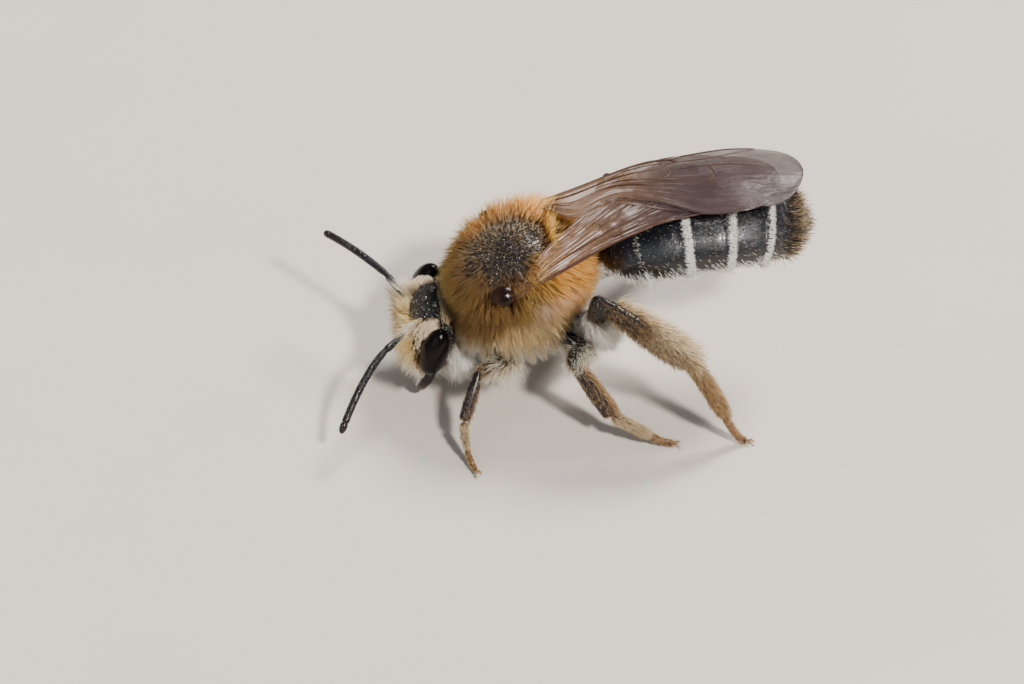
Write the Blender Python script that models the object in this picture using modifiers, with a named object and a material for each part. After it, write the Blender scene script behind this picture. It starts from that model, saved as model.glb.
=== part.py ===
"""A female mining bee at life size, as a still museum model standing on six feet.

Everything is drawn in millimetres, with the middle of the thorax over x = y = 0, and one empty, "bee",
scales it to metres and centres it. +X is the bee's left, -Y is forward and the feet stand at z = 0.
The solids hold the hairs too: their surfaces are where the tips of the coat are. Wings, legs and
feelers are drawn about half a millimetre thick. Where two pieces meet, one is cut by a slightly swollen
copy of the other.
"""

import math

import bmesh
import bpy
from mathutils import Matrix, Vector

MM = 0.001
JOINT_GAP = 0.03  # between pieces that touch

# Thorax
THORAX_CENTRE = Vector((0, 0, 3.35))
THORAX_HALF_WIDTH = 1.74
THORAX_HALF_LENGTH = 1.9
THORAX_RISE = 1.62  # from its middle up to the tips of the back's hairs
THORAX_DEPTH = 2.15  # from its middle down to the hairs of the breast
THORAX_PITCH = 14  # degrees, head down
BREAST_FORWARD = 0.45  # how far the lowest hairs hang ahead of its middle

# Head
HEAD_CENTRE = Vector((0, -2.25, 1.95))
HEAD_HALF_WIDTH = 1.5
HEAD_HALF_HEIGHT = 1.08
FACE_DEPTH = 0.86  # from the middle forward to the tips of the face's hairs
NAPE_DEPTH = 0.6
BEARD_DEPTH = 0.7  # how much further back the long hairs under the cheeks reach
HEAD_LEAN = -5  # degrees about X, mouth forward
HEAD_TILT = 7  # degrees about Y, right side up
EYE_CENTRE = Vector((1.22, -0.02, 0.04))  # from the head's middle
EYE_HALF = Vector((0.36, 0.36, 0.7))
EYE_TILT = 12  # degrees, the tops closer together than the bottoms

# Abdomen
WAIST = Vector((0, 1.95, 3.75))
ABDOMEN_LENGTH = 5.35
ABDOMEN_HALF_WIDTH = 1.62
ABDOMEN_HALF_HEIGHT = 1.02
ABDOMEN_RISE = 0.585  # how far its arch lifts above the straight line from waist to tip
ABDOMEN_BEND = -0.35  # how far the tip turns to the bee's right
RING_ENDS = (0.0, 0.19, 0.405, 0.61, 0.795, 0.92, 1.0)  # where each ring ends, along the abdomen
RING_STEP = 0.045  # how far a ring's rear rim stands out

# Wings
WING_THICKNESS = 0.5
FOREWING_LENGTH = 7.1
FOREWING_LEAD = 0.37  # how far the front edge bulges ahead of the line from hinge to tip
FOREWING_TRAIL = 1.93  # how far back the wings reach behind the same line
HINDWING_WIDTH = 0.75  # the hind wing is the inner part of the pair
HINDWING_ENDS = (0.09, 0.72)  # along the fore wing
WING_ROOT = 0.14
HINGES = {"left": Vector((1.5, -0.3, 0)), "right": Vector((-1.5, 0.08, 0))}
WING_TURNS = {"left": 12, "right": 4.9}  # degrees towards the middle
WING_SHOWS = {"left": 0.7, "right": 0.999}  # how far along a fore wing shows: the right pair lies on top
RIDGE_HEIGHT = 5.71  # of the wings' middle surface, over the abdomen's highest place
RIDGE_Y = 4.9
RIDGE_FALL = 0.063
WING_DROOP = 0.16  # how the wings fall away to the sides

# Legs, each as hip, end of the hip joint, knee, ankle, heel (where the long foot joint ends) and toe
LEFT_LEGS = {
    "front": ((0.6, -0.5, 1.6), (1.2, -0.42, 1.4), (2.0, -1.25, 1.75),
              (2.82, -1.7, 0.9), (3.2, -1.72, 0.5), (3.75, -1.5, 0)),
    "middle": ((0.65, 0.8, 1.75), (1.3, 1.45, 1.75), (2.3, 1.12, 2.1),
               (2.95, 2.0, 0.84), (3.2, 2.9, 0.4), (3.3, 3.5, 0)),
    "hind": ((0.6, 1.3, 2.3), (1.15, 1.85, 2.2), (2.2, 1.72, 4.1),
             (3.0, 3.9, 2.55), (3.3, 4.75, 1.35), (3.4, 5.35, 0)),
}
RIGHT_LEGS = {
    "front": ((-0.6, -0.45, 1.6), (-1.2, -0.4, 1.4), (-2.0, -1.3, 1.85),
              (-2.8, -1.75, 0.95), (-3.2, -1.7, 0.5), (-3.75, -1.35, 0)),
    "middle": ((-0.65, 0.7, 1.75), (-1.3, 1.1, 1.7), (-2.4, 0.75, 2.3),
               (-3.05, 1.45, 0.9), (-3.3, 2.3, 0.4), (-3.5, 2.95, 0)),
    "hind": ((-0.6, 1.3, 2.3), (-1.2, 1.85, 2.25), (-2.8, 2.5, 3.8),
             (-3.7, 3.7, 2.0), (-4.0, 4.4, 1.0), (-4.15, 4.95, 0)),
}
# Half-sizes across and through, with the hairs, of each leg's thigh, shin and foot
LEG_HALVES = {
    "front": ((0.36, 0.32), (0.28, 0.26), (0.27, 0.26)),
    "middle": ((0.4, 0.34), (0.34, 0.28), (0.3, 0.26)),
    "hind": ((0.48, 0.42), (0.62, 0.45), (0.36, 0.28)),
}
SOLE_HEIGHT = 0.13  # of the foot's middle line, where its toes lie level
TOE_LENGTH = 0.42
HIP_HALF = 0.36

# Feelers, each as root, elbow, a point to bend towards, and tip
LEFT_FEELER = ((0.35, -2.8, 1.93), (1.25, -3.5, 2.05), (1.95, -4.15, 1.9), (2.95, -4.78, 0.92))
RIGHT_FEELER = ((-0.35, -2.8, 2.0), (-1.1, -3.25, 2.48), (-1.9, -3.95, 2.72), (-2.8, -4.68, 2.55))
FEELER_RADIUS = 0.25

# Jaws, each as hinge, a point to bend towards, and tip
JAW = ((0.8, -2.3, 1.05), (0.86, -2.55, 0.55), (0.45, -2.6, 0.32))  # the left one
JAW_RADIUS = 0.24

# Wing shields
TEGULA_PLACE = Vector((1.5, -0.55, 3.85))
TEGULA_HALF = Vector((0.25, 0.34, 0.22))
TEGULA_TILT = 35  # degrees, outwards

SIDES = {"left": 1, "right": -1}


def smooth(t):
    t = min(1.0, max(0.0, t))
    return t * t * (3 - 2 * t)


def petal(t, rise, fall):
    """0 at both ends and 1 at the peak, steeper at the end whose power is smaller."""
    peak = rise / (rise + fall)
    return (t**rise) * ((1 - t) ** fall) / (peak**rise * (1 - peak) ** fall)


def material(name, colour, roughness, metallic=0.0):
    made = bpy.data.materials.new(name)
    made.use_nodes = True
    shader = made.node_tree.nodes["Principled BSDF"]
    shader.inputs["Base Color"].default_value = (*colour, 1)
    shader.inputs["Roughness"].default_value = roughness
    shader.inputs["Metallic"].default_value = metallic
    return made


def new_collection(name, hidden=False):
    made = bpy.data.collections.new(name)
    bpy.context.scene.collection.children.link(made)
    made.hide_render = hidden
    return made


def add_piece(name, bm, finish, smooth_angle=50):
    """Makes a bmesh drawn in millimetres a named object under the empty."""
    bmesh.ops.recalc_face_normals(bm, faces=bm.faces)
    mesh = bpy.data.meshes.new(name)
    bm.to_mesh(mesh)
    bm.free()
    mesh.materials.append(MATERIALS[finish])
    mesh.shade_smooth()
    mesh.set_sharp_from_angle(angle=math.radians(smooth_angle))
    piece = bpy.data.objects.new(name, mesh)
    piece.parent = BEE
    PARTS.objects.link(piece)
    return piece


def swollen_copy(piece):
    """A cutter: the piece as drawn, grown by the gap, and left out of the render."""
    name = "cutter_" + piece.name
    if name in bpy.data.objects:
        return bpy.data.objects[name]
    cutter = bpy.data.objects.new(name, piece.data)
    cutter.parent = BEE
    cutter.hide_render = True
    cutter.display_type = "WIRE"
    CUTTERS.objects.link(cutter)
    for modifier in piece.modifiers:
        if modifier.type == "SOLIDIFY":
            walls = cutter.modifiers.new("Walls", "SOLIDIFY")
            walls.thickness = modifier.thickness * 2  # a plate's cutter reaches well past both its faces
            walls.offset = modifier.offset
    grown = cutter.modifiers.new("Grown", "DISPLACE")
    grown.strength = JOINT_GAP
    grown.mid_level = 0
    return cutter


def cut_by(piece, *others):
    for other in others:
        cut = piece.modifiers.new("Cut by " + other.name, "BOOLEAN")
        cut.operation = "DIFFERENCE"
        cut.object = swollen_copy(other)


def rounded_form(name, finish, shape, placed, around, along):
    """A round form: a sphere with its poles fore and aft, each of whose points shape() moves."""
    bm = bmesh.new()
    bmesh.ops.create_uvsphere(bm, u_segments=around, v_segments=along, radius=1)
    bmesh.ops.rotate(bm, verts=bm.verts, matrix=Matrix.Rotation(math.radians(90), 3, "X"))
    for vert in bm.verts:
        vert.co = placed @ Vector(shape(*vert.co))
    return add_piece(name, bm, finish)


def loft(sections, sides):
    """A closed skin over elliptical rings, each given as its middle and its two half-axes."""
    bm = bmesh.new()
    rings = []
    for middle, across, through in sections:
        angles = [2 * math.pi * k / sides for k in range(sides)]
        rings.append([bm.verts.new(middle + across * math.cos(a) + through * math.sin(a)) for a in angles])
    for ring, following in zip(rings, rings[1:]):
        for k in range(sides):
            bm.faces.new((ring[k], ring[(k + 1) % sides], following[(k + 1) % sides], following[k]))
    bm.faces.new(rings[0])
    bm.faces.new(reversed(rings[-1]))
    return bm


def limb_sections(path, halves, profile, steps, side=Vector((1, 0, 0))):
    """Rings along a smooth curve from the path's first point to its last, drawn towards those between."""
    points = [Vector(p) for p in path]
    sections = []
    for k in range(steps):
        t = k / (steps - 1)
        middle = bezier(points, t)
        ahead = (bezier(points, min(1, t + 0.01)) - bezier(points, max(0, t - 0.01))).normalized()
        across = side.cross(ahead).cross(ahead).normalized()
        through = across.cross(ahead)
        size = profile(t)
        sections.append((middle, across * halves[0] * size, through * halves[1] * size))
    return sections


def bezier(points, t):
    while len(points) > 1:
        points = [a.lerp(b, t) for a, b in zip(points, points[1:])]
    return points[0]


def capped(t, tip=0.14, least=0.45):
    """Full size along the middle, rounding down to a small flat at both ends."""
    end = min(t, 1 - t)
    return least + (1 - least) * math.sqrt(max(0.0, 1 - (1 - min(1, end / tip)) ** 2))


def make_thorax():
    def shape(x, y, z):
        narrow = 1 - 0.12 * max(0, -z) ** 2  # the breast is narrower than the back
        slope = 0.3 * smooth(y) * max(0, z)  # the rear slopes down to the waist
        height = THORAX_RISE if z > 0 else THORAX_DEPTH
        forward = BREAST_FORWARD * max(0, -z)
        return x * THORAX_HALF_WIDTH * narrow, y * THORAX_HALF_LENGTH - forward, z * height - slope

    placed = Matrix.Translation(THORAX_CENTRE) @ Matrix.Rotation(math.radians(THORAX_PITCH), 4, "X")
    return rounded_form("thorax", "orange_fur", shape, placed, 24, 14)


def head_place():
    tilted = Matrix.Rotation(math.radians(HEAD_TILT), 4, "Y")
    leaning = Matrix.Rotation(math.radians(HEAD_LEAN), 4, "X")
    return Matrix.Translation(HEAD_CENTRE) @ tilted @ leaning


def make_head():
    def shape(x, y, z):
        taper = 1 - 0.14 * z * z
        depth = FACE_DEPTH if y < 0 else NAPE_DEPTH + BEARD_DEPTH * max(0, -z)
        return x * HEAD_HALF_WIDTH * taper, y * depth, z * HEAD_HALF_HEIGHT

    return rounded_form("head", "pale_fur", shape, head_place(), 24, 14)


def make_eye(side):
    def shape(x, y, z):
        return x * EYE_HALF.x, y * EYE_HALF.y, z * EYE_HALF.z

    sign = SIDES[side]
    centre = Matrix.Translation((sign * EYE_CENTRE.x, EYE_CENTRE.y, EYE_CENTRE.z))
    placed = head_place() @ centre @ Matrix.Rotation(math.radians(-sign * EYE_TILT), 4, "Y")
    return rounded_form("eye_" + side, "eye", shape, placed, 16, 12)


def make_jaw(side):
    path = [(SIDES[side] * x, y, z) for x, y, z in JAW]
    halves = (JAW_RADIUS, JAW_RADIUS)
    sections = limb_sections(path, halves, lambda t: capped(t) * (1 - 0.3 * t), 7, Vector((0, 1, 0)))
    return add_piece("mandible_" + side, loft(sections, 8), "cuticle")


def make_feeler(side, path):
    halves = (FEELER_RADIUS, FEELER_RADIUS)
    root, elbow, middle, tip = path
    scape = loft(limb_sections((root, elbow), halves, capped, 6), 8)
    flagellum = loft(limb_sections((elbow, middle, tip), halves, capped, 9), 8)
    return (
        add_piece(f"antenna_{side}_scape", scape, "cuticle"),
        add_piece(f"antenna_{side}_flagellum", flagellum, "cuticle"),
    )


def abdomen_axis(t):
    """The middle line of the abdomen, from the waist to the tip."""
    rise = ABDOMEN_RISE * math.sin(math.pi * t * 0.96)
    return WAIST + Vector((ABDOMEN_BEND * t * t, ABDOMEN_LENGTH * t, rise))


def abdomen_section(t, grown=0.0):
    """The ring across the abdomen at t, round-ended by the size's power law."""
    ahead = (abdomen_axis(min(1, t + 0.02)) - abdomen_axis(max(0, t - 0.02))).normalized()
    across = Vector((1, 0, 0))
    through = across.cross(ahead).normalized()
    size = max(0.2, (1 - abs(1 - 2 * t) ** 2.7) ** (1 / 2.3))
    wide = size * ABDOMEN_HALF_WIDTH * (1.02 - 0.12 * t) + grown
    high = size * ABDOMEN_HALF_HEIGHT + grown
    return abdomen_axis(t), across * wide, through * high


def make_abdomen():
    rings = []
    for k, (start, end) in enumerate(zip(RING_ENDS, RING_ENDS[1:])):
        half_gap = JOINT_GAP / ABDOMEN_LENGTH / 2
        start, end = start + half_gap, end - half_gap
        steps = 5 if k in (0, 5) else 4
        sections = []
        for j in range(steps):
            t = start + (end - start) * j / (steps - 1)
            sections.append(abdomen_section(t, RING_STEP * (j / (steps - 1) if k < 5 else 0)))
        finish = "brown_fur" if k > 3 else "cuticle"
        rings.append(add_piece(f"abdomen_{k + 1}", loft(sections, 24), finish))
    return rings


def wing_surface(x, y):
    """Height of the wings' middle surface: an arch over the abdomen, lower at the sides and the hinges."""
    ridge = RIDGE_HEIGHT - RIDGE_FALL * (y - RIDGE_Y) ** 2 * (1 if y < RIDGE_Y else 0.6)
    return ridge - WING_DROOP * x * x


def make_wing(name, side, inner, outer, start, end, across_steps, along_steps):
    """A plate between two edges, each a distance behind the line from hinge to tip, laid on the arch."""
    sign = SIDES[side]
    turned = Matrix.Rotation(math.radians(sign * WING_TURNS[side]), 3, "Z")
    bm = bmesh.new()
    bmesh.ops.create_grid(bm, x_segments=across_steps, y_segments=along_steps, size=0.5)
    for vert in bm.verts:
        u, v = vert.co.x + 0.5, vert.co.y + 0.5
        s = start + (end - start) * math.sin(v * math.pi / 2)
        behind = inner(s) + (outer(s) - inner(s)) * u
        spot = HINGES[side] + turned @ Vector((-sign * behind, s * FOREWING_LENGTH, 0))
        vert.co = (spot.x, spot.y, wing_surface(spot.x, spot.y))
    wing = add_piece(name, bm, "wing", 40)
    walls = wing.modifiers.new("Walls", "SOLIDIFY")
    walls.thickness = WING_THICKNESS
    walls.offset = 0
    return wing


def make_wings(side):
    def lead(s):
        return -WING_ROOT - FOREWING_LEAD * petal(s, 0.9, 0.55)

    def trail(s):
        return WING_ROOT + FOREWING_TRAIL * petal(s, 1.35, 0.68)

    def seam(s):
        along = (s - HINDWING_ENDS[0]) / (HINDWING_ENDS[1] - HINDWING_ENDS[0])
        return trail(s) - 0.15 - HINDWING_WIDTH * petal(along, 0.7, 0.6)

    def outside(s):
        return trail(s) + 0.01

    start, end = HINDWING_ENDS
    end = min(end, WING_SHOWS[side]) - 0.001
    fore = make_wing("forewing_" + side, side, lead, trail, 0, WING_SHOWS[side], 5, 13)
    hind = make_wing("hindwing_" + side, side, seam, outside, start, end, 2, 9)
    cut_by(fore, hind)
    return fore, hind


def make_leg(side, which, points):
    thigh, shin, foot = LEG_HALVES[which]
    hip, hip_end, knee, ankle, heel, toe = (Vector(p) for p in points)
    sole = Vector((toe.x, toe.y, SOLE_HEIGHT))
    toe_root = sole + Vector((heel.x - toe.x, heel.y - toe.y, 0)).normalized() * TOE_LENGTH
    out = Vector((0.3, 1, 0))
    paddle = 0.28 if which == "hind" else 0.1

    def thinning(by):
        return lambda t: capped(t) * (1 + by * (0.5 - t))

    def spindle(t):
        return capped(t) * (1 - paddle * (2 * t - 1) ** 2)

    def joint(name, finish, path, halves, profile, steps, sides):
        drawn = loft(limb_sections(path, halves, profile, steps, out), sides)
        if name == "tarsus":
            level_sole(drawn)
        return add_piece(f"{which}_leg_{side}_{name}", drawn, finish)

    coxa = joint("coxa", "cuticle", (hip, hip_end), (HIP_HALF, HIP_HALF), capped, 5, 8)
    femur = joint("femur", "cuticle", (hip_end, knee), thigh, thinning(0.12), 7, 9)
    tibia = joint("tibia", "brown_fur", (knee, ankle), shin, spindle, 8, 10)
    tarsus = joint("tarsus", "brown_fur", (ankle, heel, toe_root, sole), foot, thinning(0.22), 10, 8)
    cut_by(coxa, thorax)
    cut_by(femur, thorax, coxa)
    cut_by(tibia, femur)
    cut_by(tarsus, tibia)


def level_sole(bm):
    """Cuts a foot off flat at the floor."""
    everything = bm.verts[:] + bm.edges[:] + bm.faces[:]
    bmesh.ops.bisect_plane(bm, geom=everything, plane_co=(0, 0, 0), plane_no=(0, 0, -1), clear_outer=True)
    bmesh.ops.holes_fill(bm, edges=[edge for edge in bm.edges if edge.is_boundary])


def make_tegula(side):
    """The small shield over each wing's hinge."""

    def shape(x, y, z):
        return x * TEGULA_HALF.x, y * TEGULA_HALF.y, z * TEGULA_HALF.z

    sign = SIDES[side]
    place = Matrix.Translation((sign * TEGULA_PLACE.x, TEGULA_PLACE.y, TEGULA_PLACE.z))
    placed = place @ Matrix.Rotation(math.radians(sign * TEGULA_TILT), 4, "Y")
    return rounded_form("tegula_" + side, "cuticle", shape, placed, 12, 8)


def stand_on_origin():
    """Moves the empty so that the middle of the bee's box is over the origin."""
    bpy.context.view_layer.update()
    graph = bpy.context.evaluated_depsgraph_get()
    corners = []
    for piece in PARTS.objects:
        corners += [piece.matrix_world @ Vector(corner) for corner in piece.evaluated_get(graph).bound_box]
    for axis in (0, 1):
        values = [corner[axis] for corner in corners]
        BEE.location[axis] = -(min(values) + max(values)) / 2


for old in list(bpy.data.objects):
    bpy.data.objects.remove(old, do_unlink=True)

PARTS = new_collection("mining_bee")
CUTTERS = new_collection("cutters", hidden=True)
BEE = bpy.data.objects.new("bee", None)
BEE.scale = (MM, MM, MM)
bpy.context.scene.collection.objects.link(BEE)
MATERIALS = {
    "orange_fur": material("orange_fur", (0.45, 0.2, 0.04), 0.9),
    "pale_fur": material("pale_fur", (0.62, 0.5, 0.34), 0.9),
    "brown_fur": material("brown_fur", (0.2, 0.12, 0.06), 0.85),
    "cuticle": material("cuticle", (0.012, 0.011, 0.012), 0.3),
    "eye": material("eye", (0.015, 0.008, 0.006), 0.18),
    "wing": material("wing", (0.2, 0.13, 0.09), 0.25),
}

thorax = make_thorax()
head = make_head()
abdomen = make_abdomen()
eyes = [make_eye(side) for side in SIDES]
tegulae = [make_tegula(side) for side in SIDES]
cut_by(head, *eyes)
cut_by(thorax, head, *tegulae)
cut_by(abdomen[0], thorax)
for side in SIDES:
    cut_by(make_jaw(side), head)
for side, path in (("left", LEFT_FEELER), ("right", RIGHT_FEELER)):
    scape, whip = make_feeler(side, path)
    cut_by(scape, head)
    cut_by(whip, scape)
right_wings = make_wings("right")
left_wings = make_wings("left")
cut_by(left_wings[0], *right_wings)
cut_by(left_wings[1], *right_wings)
for wing in right_wings + left_wings:
    cut_by(wing, thorax, *tegulae)
for side, legs in (("left", LEFT_LEGS), ("right", RIGHT_LEGS)):
    for which, points in legs.items():
        make_leg(side, which, points)
stand_on_origin()
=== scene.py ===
import math

import bmesh
import bpy
import numpy as np
from mathutils import Matrix, Vector


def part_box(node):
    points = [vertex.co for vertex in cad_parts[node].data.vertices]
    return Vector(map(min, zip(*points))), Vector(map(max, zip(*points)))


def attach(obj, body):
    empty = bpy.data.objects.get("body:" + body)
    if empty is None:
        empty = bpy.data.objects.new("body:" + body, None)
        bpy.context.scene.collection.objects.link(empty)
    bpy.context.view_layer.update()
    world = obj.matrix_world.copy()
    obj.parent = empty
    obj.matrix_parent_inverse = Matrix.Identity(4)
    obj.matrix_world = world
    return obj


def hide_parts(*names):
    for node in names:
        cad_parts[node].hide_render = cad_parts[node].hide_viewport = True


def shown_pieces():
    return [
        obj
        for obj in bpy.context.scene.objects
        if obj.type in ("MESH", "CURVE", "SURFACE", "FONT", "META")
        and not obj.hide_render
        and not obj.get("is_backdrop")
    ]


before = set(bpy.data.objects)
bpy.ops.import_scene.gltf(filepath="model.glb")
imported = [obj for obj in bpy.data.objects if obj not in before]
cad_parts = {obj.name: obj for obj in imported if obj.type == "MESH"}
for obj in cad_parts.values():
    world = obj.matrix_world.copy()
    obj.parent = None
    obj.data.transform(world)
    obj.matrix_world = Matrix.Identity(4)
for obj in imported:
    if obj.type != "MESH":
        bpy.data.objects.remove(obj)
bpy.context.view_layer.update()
print("frame:", len(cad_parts), "nodes")

# All is drawn in millimetres from origin: x to the bee's left, y to its tail, z up from the floor
mm = 0.001
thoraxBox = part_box("thorax")
thoraxRear = 1.844  # how far the thorax's node reaches behind origin
origin = Vector(((thoraxBox[0][0] + thoraxBox[1][0]) / 2, thoraxBox[1][1] - thoraxRear * mm, 0))
sides = {"left": 1, "right": -1}


# camera, lights and floor
view = {
    "azimuth": 84,
    "elevation": 42,
    "distance": 160,
    "target": (1.13, -0.32, 1.92),
    "lens": 225,
    "film": 36,
}
studio = {
    "sky": (0.80, 0.86, 0.95),
    "skyStrength": 0.40,
    "floorColour": (0.50, 0.45, 0.395),
    "floorHalf": 1.0,
    # azimuth, elevation, distance and size in metres, power, colour
    "lights": {
        "keyLight": (121, 48, 0.3, 0.035, 1.65, (1.0, 0.965, 0.91)),
        "backLight": (228, 50, 0.3, 0.10, 1.7, (1.0, 0.98, 0.95)),
        "fillLight": (50, 30, 0.35, 0.30, 0.20, (0.96, 0.98, 1.0)),
    },
}
target = origin + Vector(view["target"]) * mm


def compass(azimuth, elevation):
    a = math.radians(azimuth)
    e = math.radians(elevation)
    return Vector((math.sin(a) * math.cos(e), -math.cos(a) * math.cos(e), math.sin(e)))


def aimed(thing, place):
    thing.location = place
    thing.rotation_euler = (target - place).to_track_quat("-Z", "Y").to_euler()
    bpy.context.collection.objects.link(thing)
    return thing


lens = bpy.data.cameras.new("camera")
lens.sensor_width = view["film"]
lens.lens = view["lens"]
lens.clip_start = 0.01
lens.clip_end = 10
place = target + compass(view["azimuth"], view["elevation"]) * view["distance"] * mm
bpy.context.scene.camera = aimed(bpy.data.objects.new("camera", lens), place)

for name, (azimuth, elevation, distance, size, power, colour) in studio["lights"].items():
    lamp = bpy.data.lights.new(name, "AREA")
    lamp.shape = "DISK"
    lamp.size = size
    lamp.energy = power
    lamp.color = colour
    aimed(bpy.data.objects.new(name, lamp), target + compass(azimuth, elevation) * distance)

world = bpy.data.worlds.new("studio")
world.use_nodes = True
sky = world.node_tree.nodes["Background"].inputs
sky["Color"].default_value = (*studio["sky"], 1)
sky["Strength"].default_value = studio["skyStrength"]
bpy.context.scene.world = world
print("camera and lights placed")


# shader maths
class Wire:
    def __init__(self, finish, socket):
        self.finish = finish
        self.socket = socket

    def maths(self, operation, first, second):
        return self.finish.node("ShaderNodeMath", {"operation": operation}, {0: first, 1: second})

    def __add__(self, other):
        return self.maths("ADD", self, other)

    def __radd__(self, other):
        return self.maths("ADD", other, self)

    def __sub__(self, other):
        return self.maths("SUBTRACT", self, other)

    def __rsub__(self, other):
        return self.maths("SUBTRACT", other, self)

    def __mul__(self, other):
        return self.maths("MULTIPLY", self, other)

    def __rmul__(self, other):
        return self.maths("MULTIPLY", other, self)

    def over(self, low, high):
        # 0 below low, 1 above high, eased between
        settings = {"interpolation_type": "SMOOTHSTEP"}
        return self.finish.node("ShaderNodeMapRange", settings, {0: self, 1: low, 2: high})


class Finish:
    def __init__(self, name):
        self.material = bpy.data.materials.new(name)
        self.material.use_nodes = True
        self.tree = self.material.node_tree
        self.tree.nodes.clear()

    def node(self, kind, settings=None, sockets=None, out=0):
        made = self.tree.nodes.new(kind)
        for key, value in (settings or {}).items():
            setattr(made, key, value)
        for key, value in (sockets or {}).items():
            socket = made.inputs[key]
            if isinstance(value, Wire):
                self.tree.links.new(value.socket, socket)
            elif isinstance(value, tuple) and socket.type == "RGBA":
                socket.default_value = (*value, 1)
            else:
                socket.default_value = value
        return Wire(self, made.outputs[out]) if len(made.outputs) else None

    def place(self):
        return self.node("ShaderNodeTexCoord", out="Object")

    def attribute(self, name, out="Fac"):
        return self.node("ShaderNodeAttribute", {"attribute_name": name}, out=out)

    def stretched(self, spot, scale, kind="POINT"):
        return self.node("ShaderNodeMapping", {"vector_type": kind}, {"Vector": spot, "Scale": scale})

    def noise(self, spot, size, detail=2.0, roughness=0.5, unit=mm):
        sockets = {"Vector": spot, "Scale": 1 / (size * unit), "Detail": detail, "Roughness": roughness}
        return self.node("ShaderNodeTexNoise", None, sockets)

    def cells(self, spot, size, feature="F1"):
        sockets = {"Vector": spot, "Scale": 1 / (size * mm)}
        return self.node("ShaderNodeTexVoronoi", {"feature": feature}, sockets, "Distance")

    def mix(self, factor, first, second, blend="MIX"):
        settings = {"data_type": "RGBA", "blend_type": blend}
        return self.node("ShaderNodeMix", settings, {0: factor, 6: first, 7: second}, 2)

    def bump(self, height, depth, strength=1.0, under=None):
        sockets = {"Height": height, "Distance": depth * mm, "Strength": strength}
        if under:
            sockets["Normal"] = under
        return self.node("ShaderNodeBump", None, sockets)

    def done(self, colour, roughness, normal=None, **others):
        # others are named as the shader's sockets are, with _ for a space
        sockets = {"Base Color": colour, "Roughness": roughness}
        if normal:
            sockets["Normal"] = normal
        sockets |= {name.replace("_", " "): value for name, value in others.items()}
        shader = self.node("ShaderNodeBsdfPrincipled", None, sockets)
        self.node("ShaderNodeOutputMaterial", None, {"Surface": shader})
        return self.material


def darker(colour, share):
    return tuple(c * share for c in colour)


def makeFloor():
    f = Finish("paleFloor")
    tone = f.noise(f.place(), 9.0, 4.0).over(0.3, 0.7)
    colour = f.mix(tone, studio["floorColour"], darker(studio["floorColour"], 0.95))
    bm = bmesh.new()
    bmesh.ops.create_grid(bm, x_segments=4, y_segments=4, size=studio["floorHalf"])
    mesh = bpy.data.meshes.new("floor")
    bm.to_mesh(mesh)
    bm.free()
    mesh.materials.append(f.done(colour, 0.9, Specular_IOR_Level=0.2))
    floor = bpy.data.objects.new("floor", mesh)
    bpy.context.collection.objects.link(floor)
    floor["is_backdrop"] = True


makeFloor()


# shapes
def smooth(low, high, value):
    t = np.clip((value - low) / (high - low), 0, 1)
    return t * t * (3 - 2 * t)


def bell(value, middle, half, power=2):
    # 1 in the middle, falling away on both sides
    return np.exp(-(((value - middle) / half) ** power))


def petal(t, rise, fall):
    # 0 at both ends and 1 at the peak
    peak = rise / (rise + fall)
    return t**rise * (1 - t) ** fall / (peak**rise * (1 - peak) ** fall)


def capped(way, ends):
    # how wide a rod's rounded ends are along its way from 0 to 1
    near = min(1, min(way, 1 - way) / ends)
    return math.sqrt(max(0.0, 1 - (1 - near) ** 2))


def globe(angle, way):
    turn = math.pi * way
    return math.sin(turn) * math.cos(angle), math.sin(turn) * math.sin(angle), math.cos(turn)


def bezier(points, t):
    points = [Vector(p) for p in points]
    while len(points) > 1:
        points = [a.lerp(b, t) for a, b in zip(points, points[1:])]
    return points[0]


def turned(degrees, axis, size=4):
    return Matrix.Rotation(math.radians(degrees), size, axis)


def rowsOf(number, count):
    # the part of a map that belongs to one of count pieces
    return number / count, (number + 1) / count


def ball(bm, around, along, place, rows=(0, 1)):
    # A sphere's grid with each corner moved to place(angle, way): angle turns round it and way
    # runs 0 to 1 from pole to pole. Its map is (angle, way), with way laid over rows.
    layer = bm.loops.layers.uv.get("skinMap") or bm.loops.layers.uv.new("skinMap")
    made = bmesh.ops.create_uvsphere(bm, u_segments=around, v_segments=along, radius=1)["verts"]
    mapped = {}
    for vert in made:
        angle = math.atan2(vert.co.y, vert.co.x) % (2 * math.pi)
        way = math.acos(max(-1, min(1, vert.co.z))) / math.pi
        pole = way < 1e-4 or way > 1 - 1e-4
        mapped[vert] = (None if pole else angle / 2 / math.pi, rows[0] + (rows[1] - rows[0]) * way)
        vert.co = place(angle, way)
    faces = list({face for vert in made for face in vert.link_faces})
    volume = 0
    for face in faces:
        first, *others = (vert.co for vert in face.verts)
        volume += sum(first.dot(a.cross(b)) for a, b in zip(others, others[1:]))
    if volume < 0:
        bmesh.ops.reverse_faces(bm, faces=faces)
    for face in faces:
        turns = [mapped[loop.vert][0] for loop in face.loops]
        known = [turn for turn in turns if turn is not None]
        wrapped = max(known) - min(known) > 0.5
        known = [turn + 1 if wrapped and turn < 0.5 else turn for turn in known]
        middle = sum(known) / len(known)
        for loop, turn in zip(face.loops, turns):
            if turn is None:
                turn = middle
            elif wrapped and turn < 0.5:
                turn = turn + 1
            loop[layer].uv = (turn, mapped[loop.vert][1])
    return made


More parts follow.
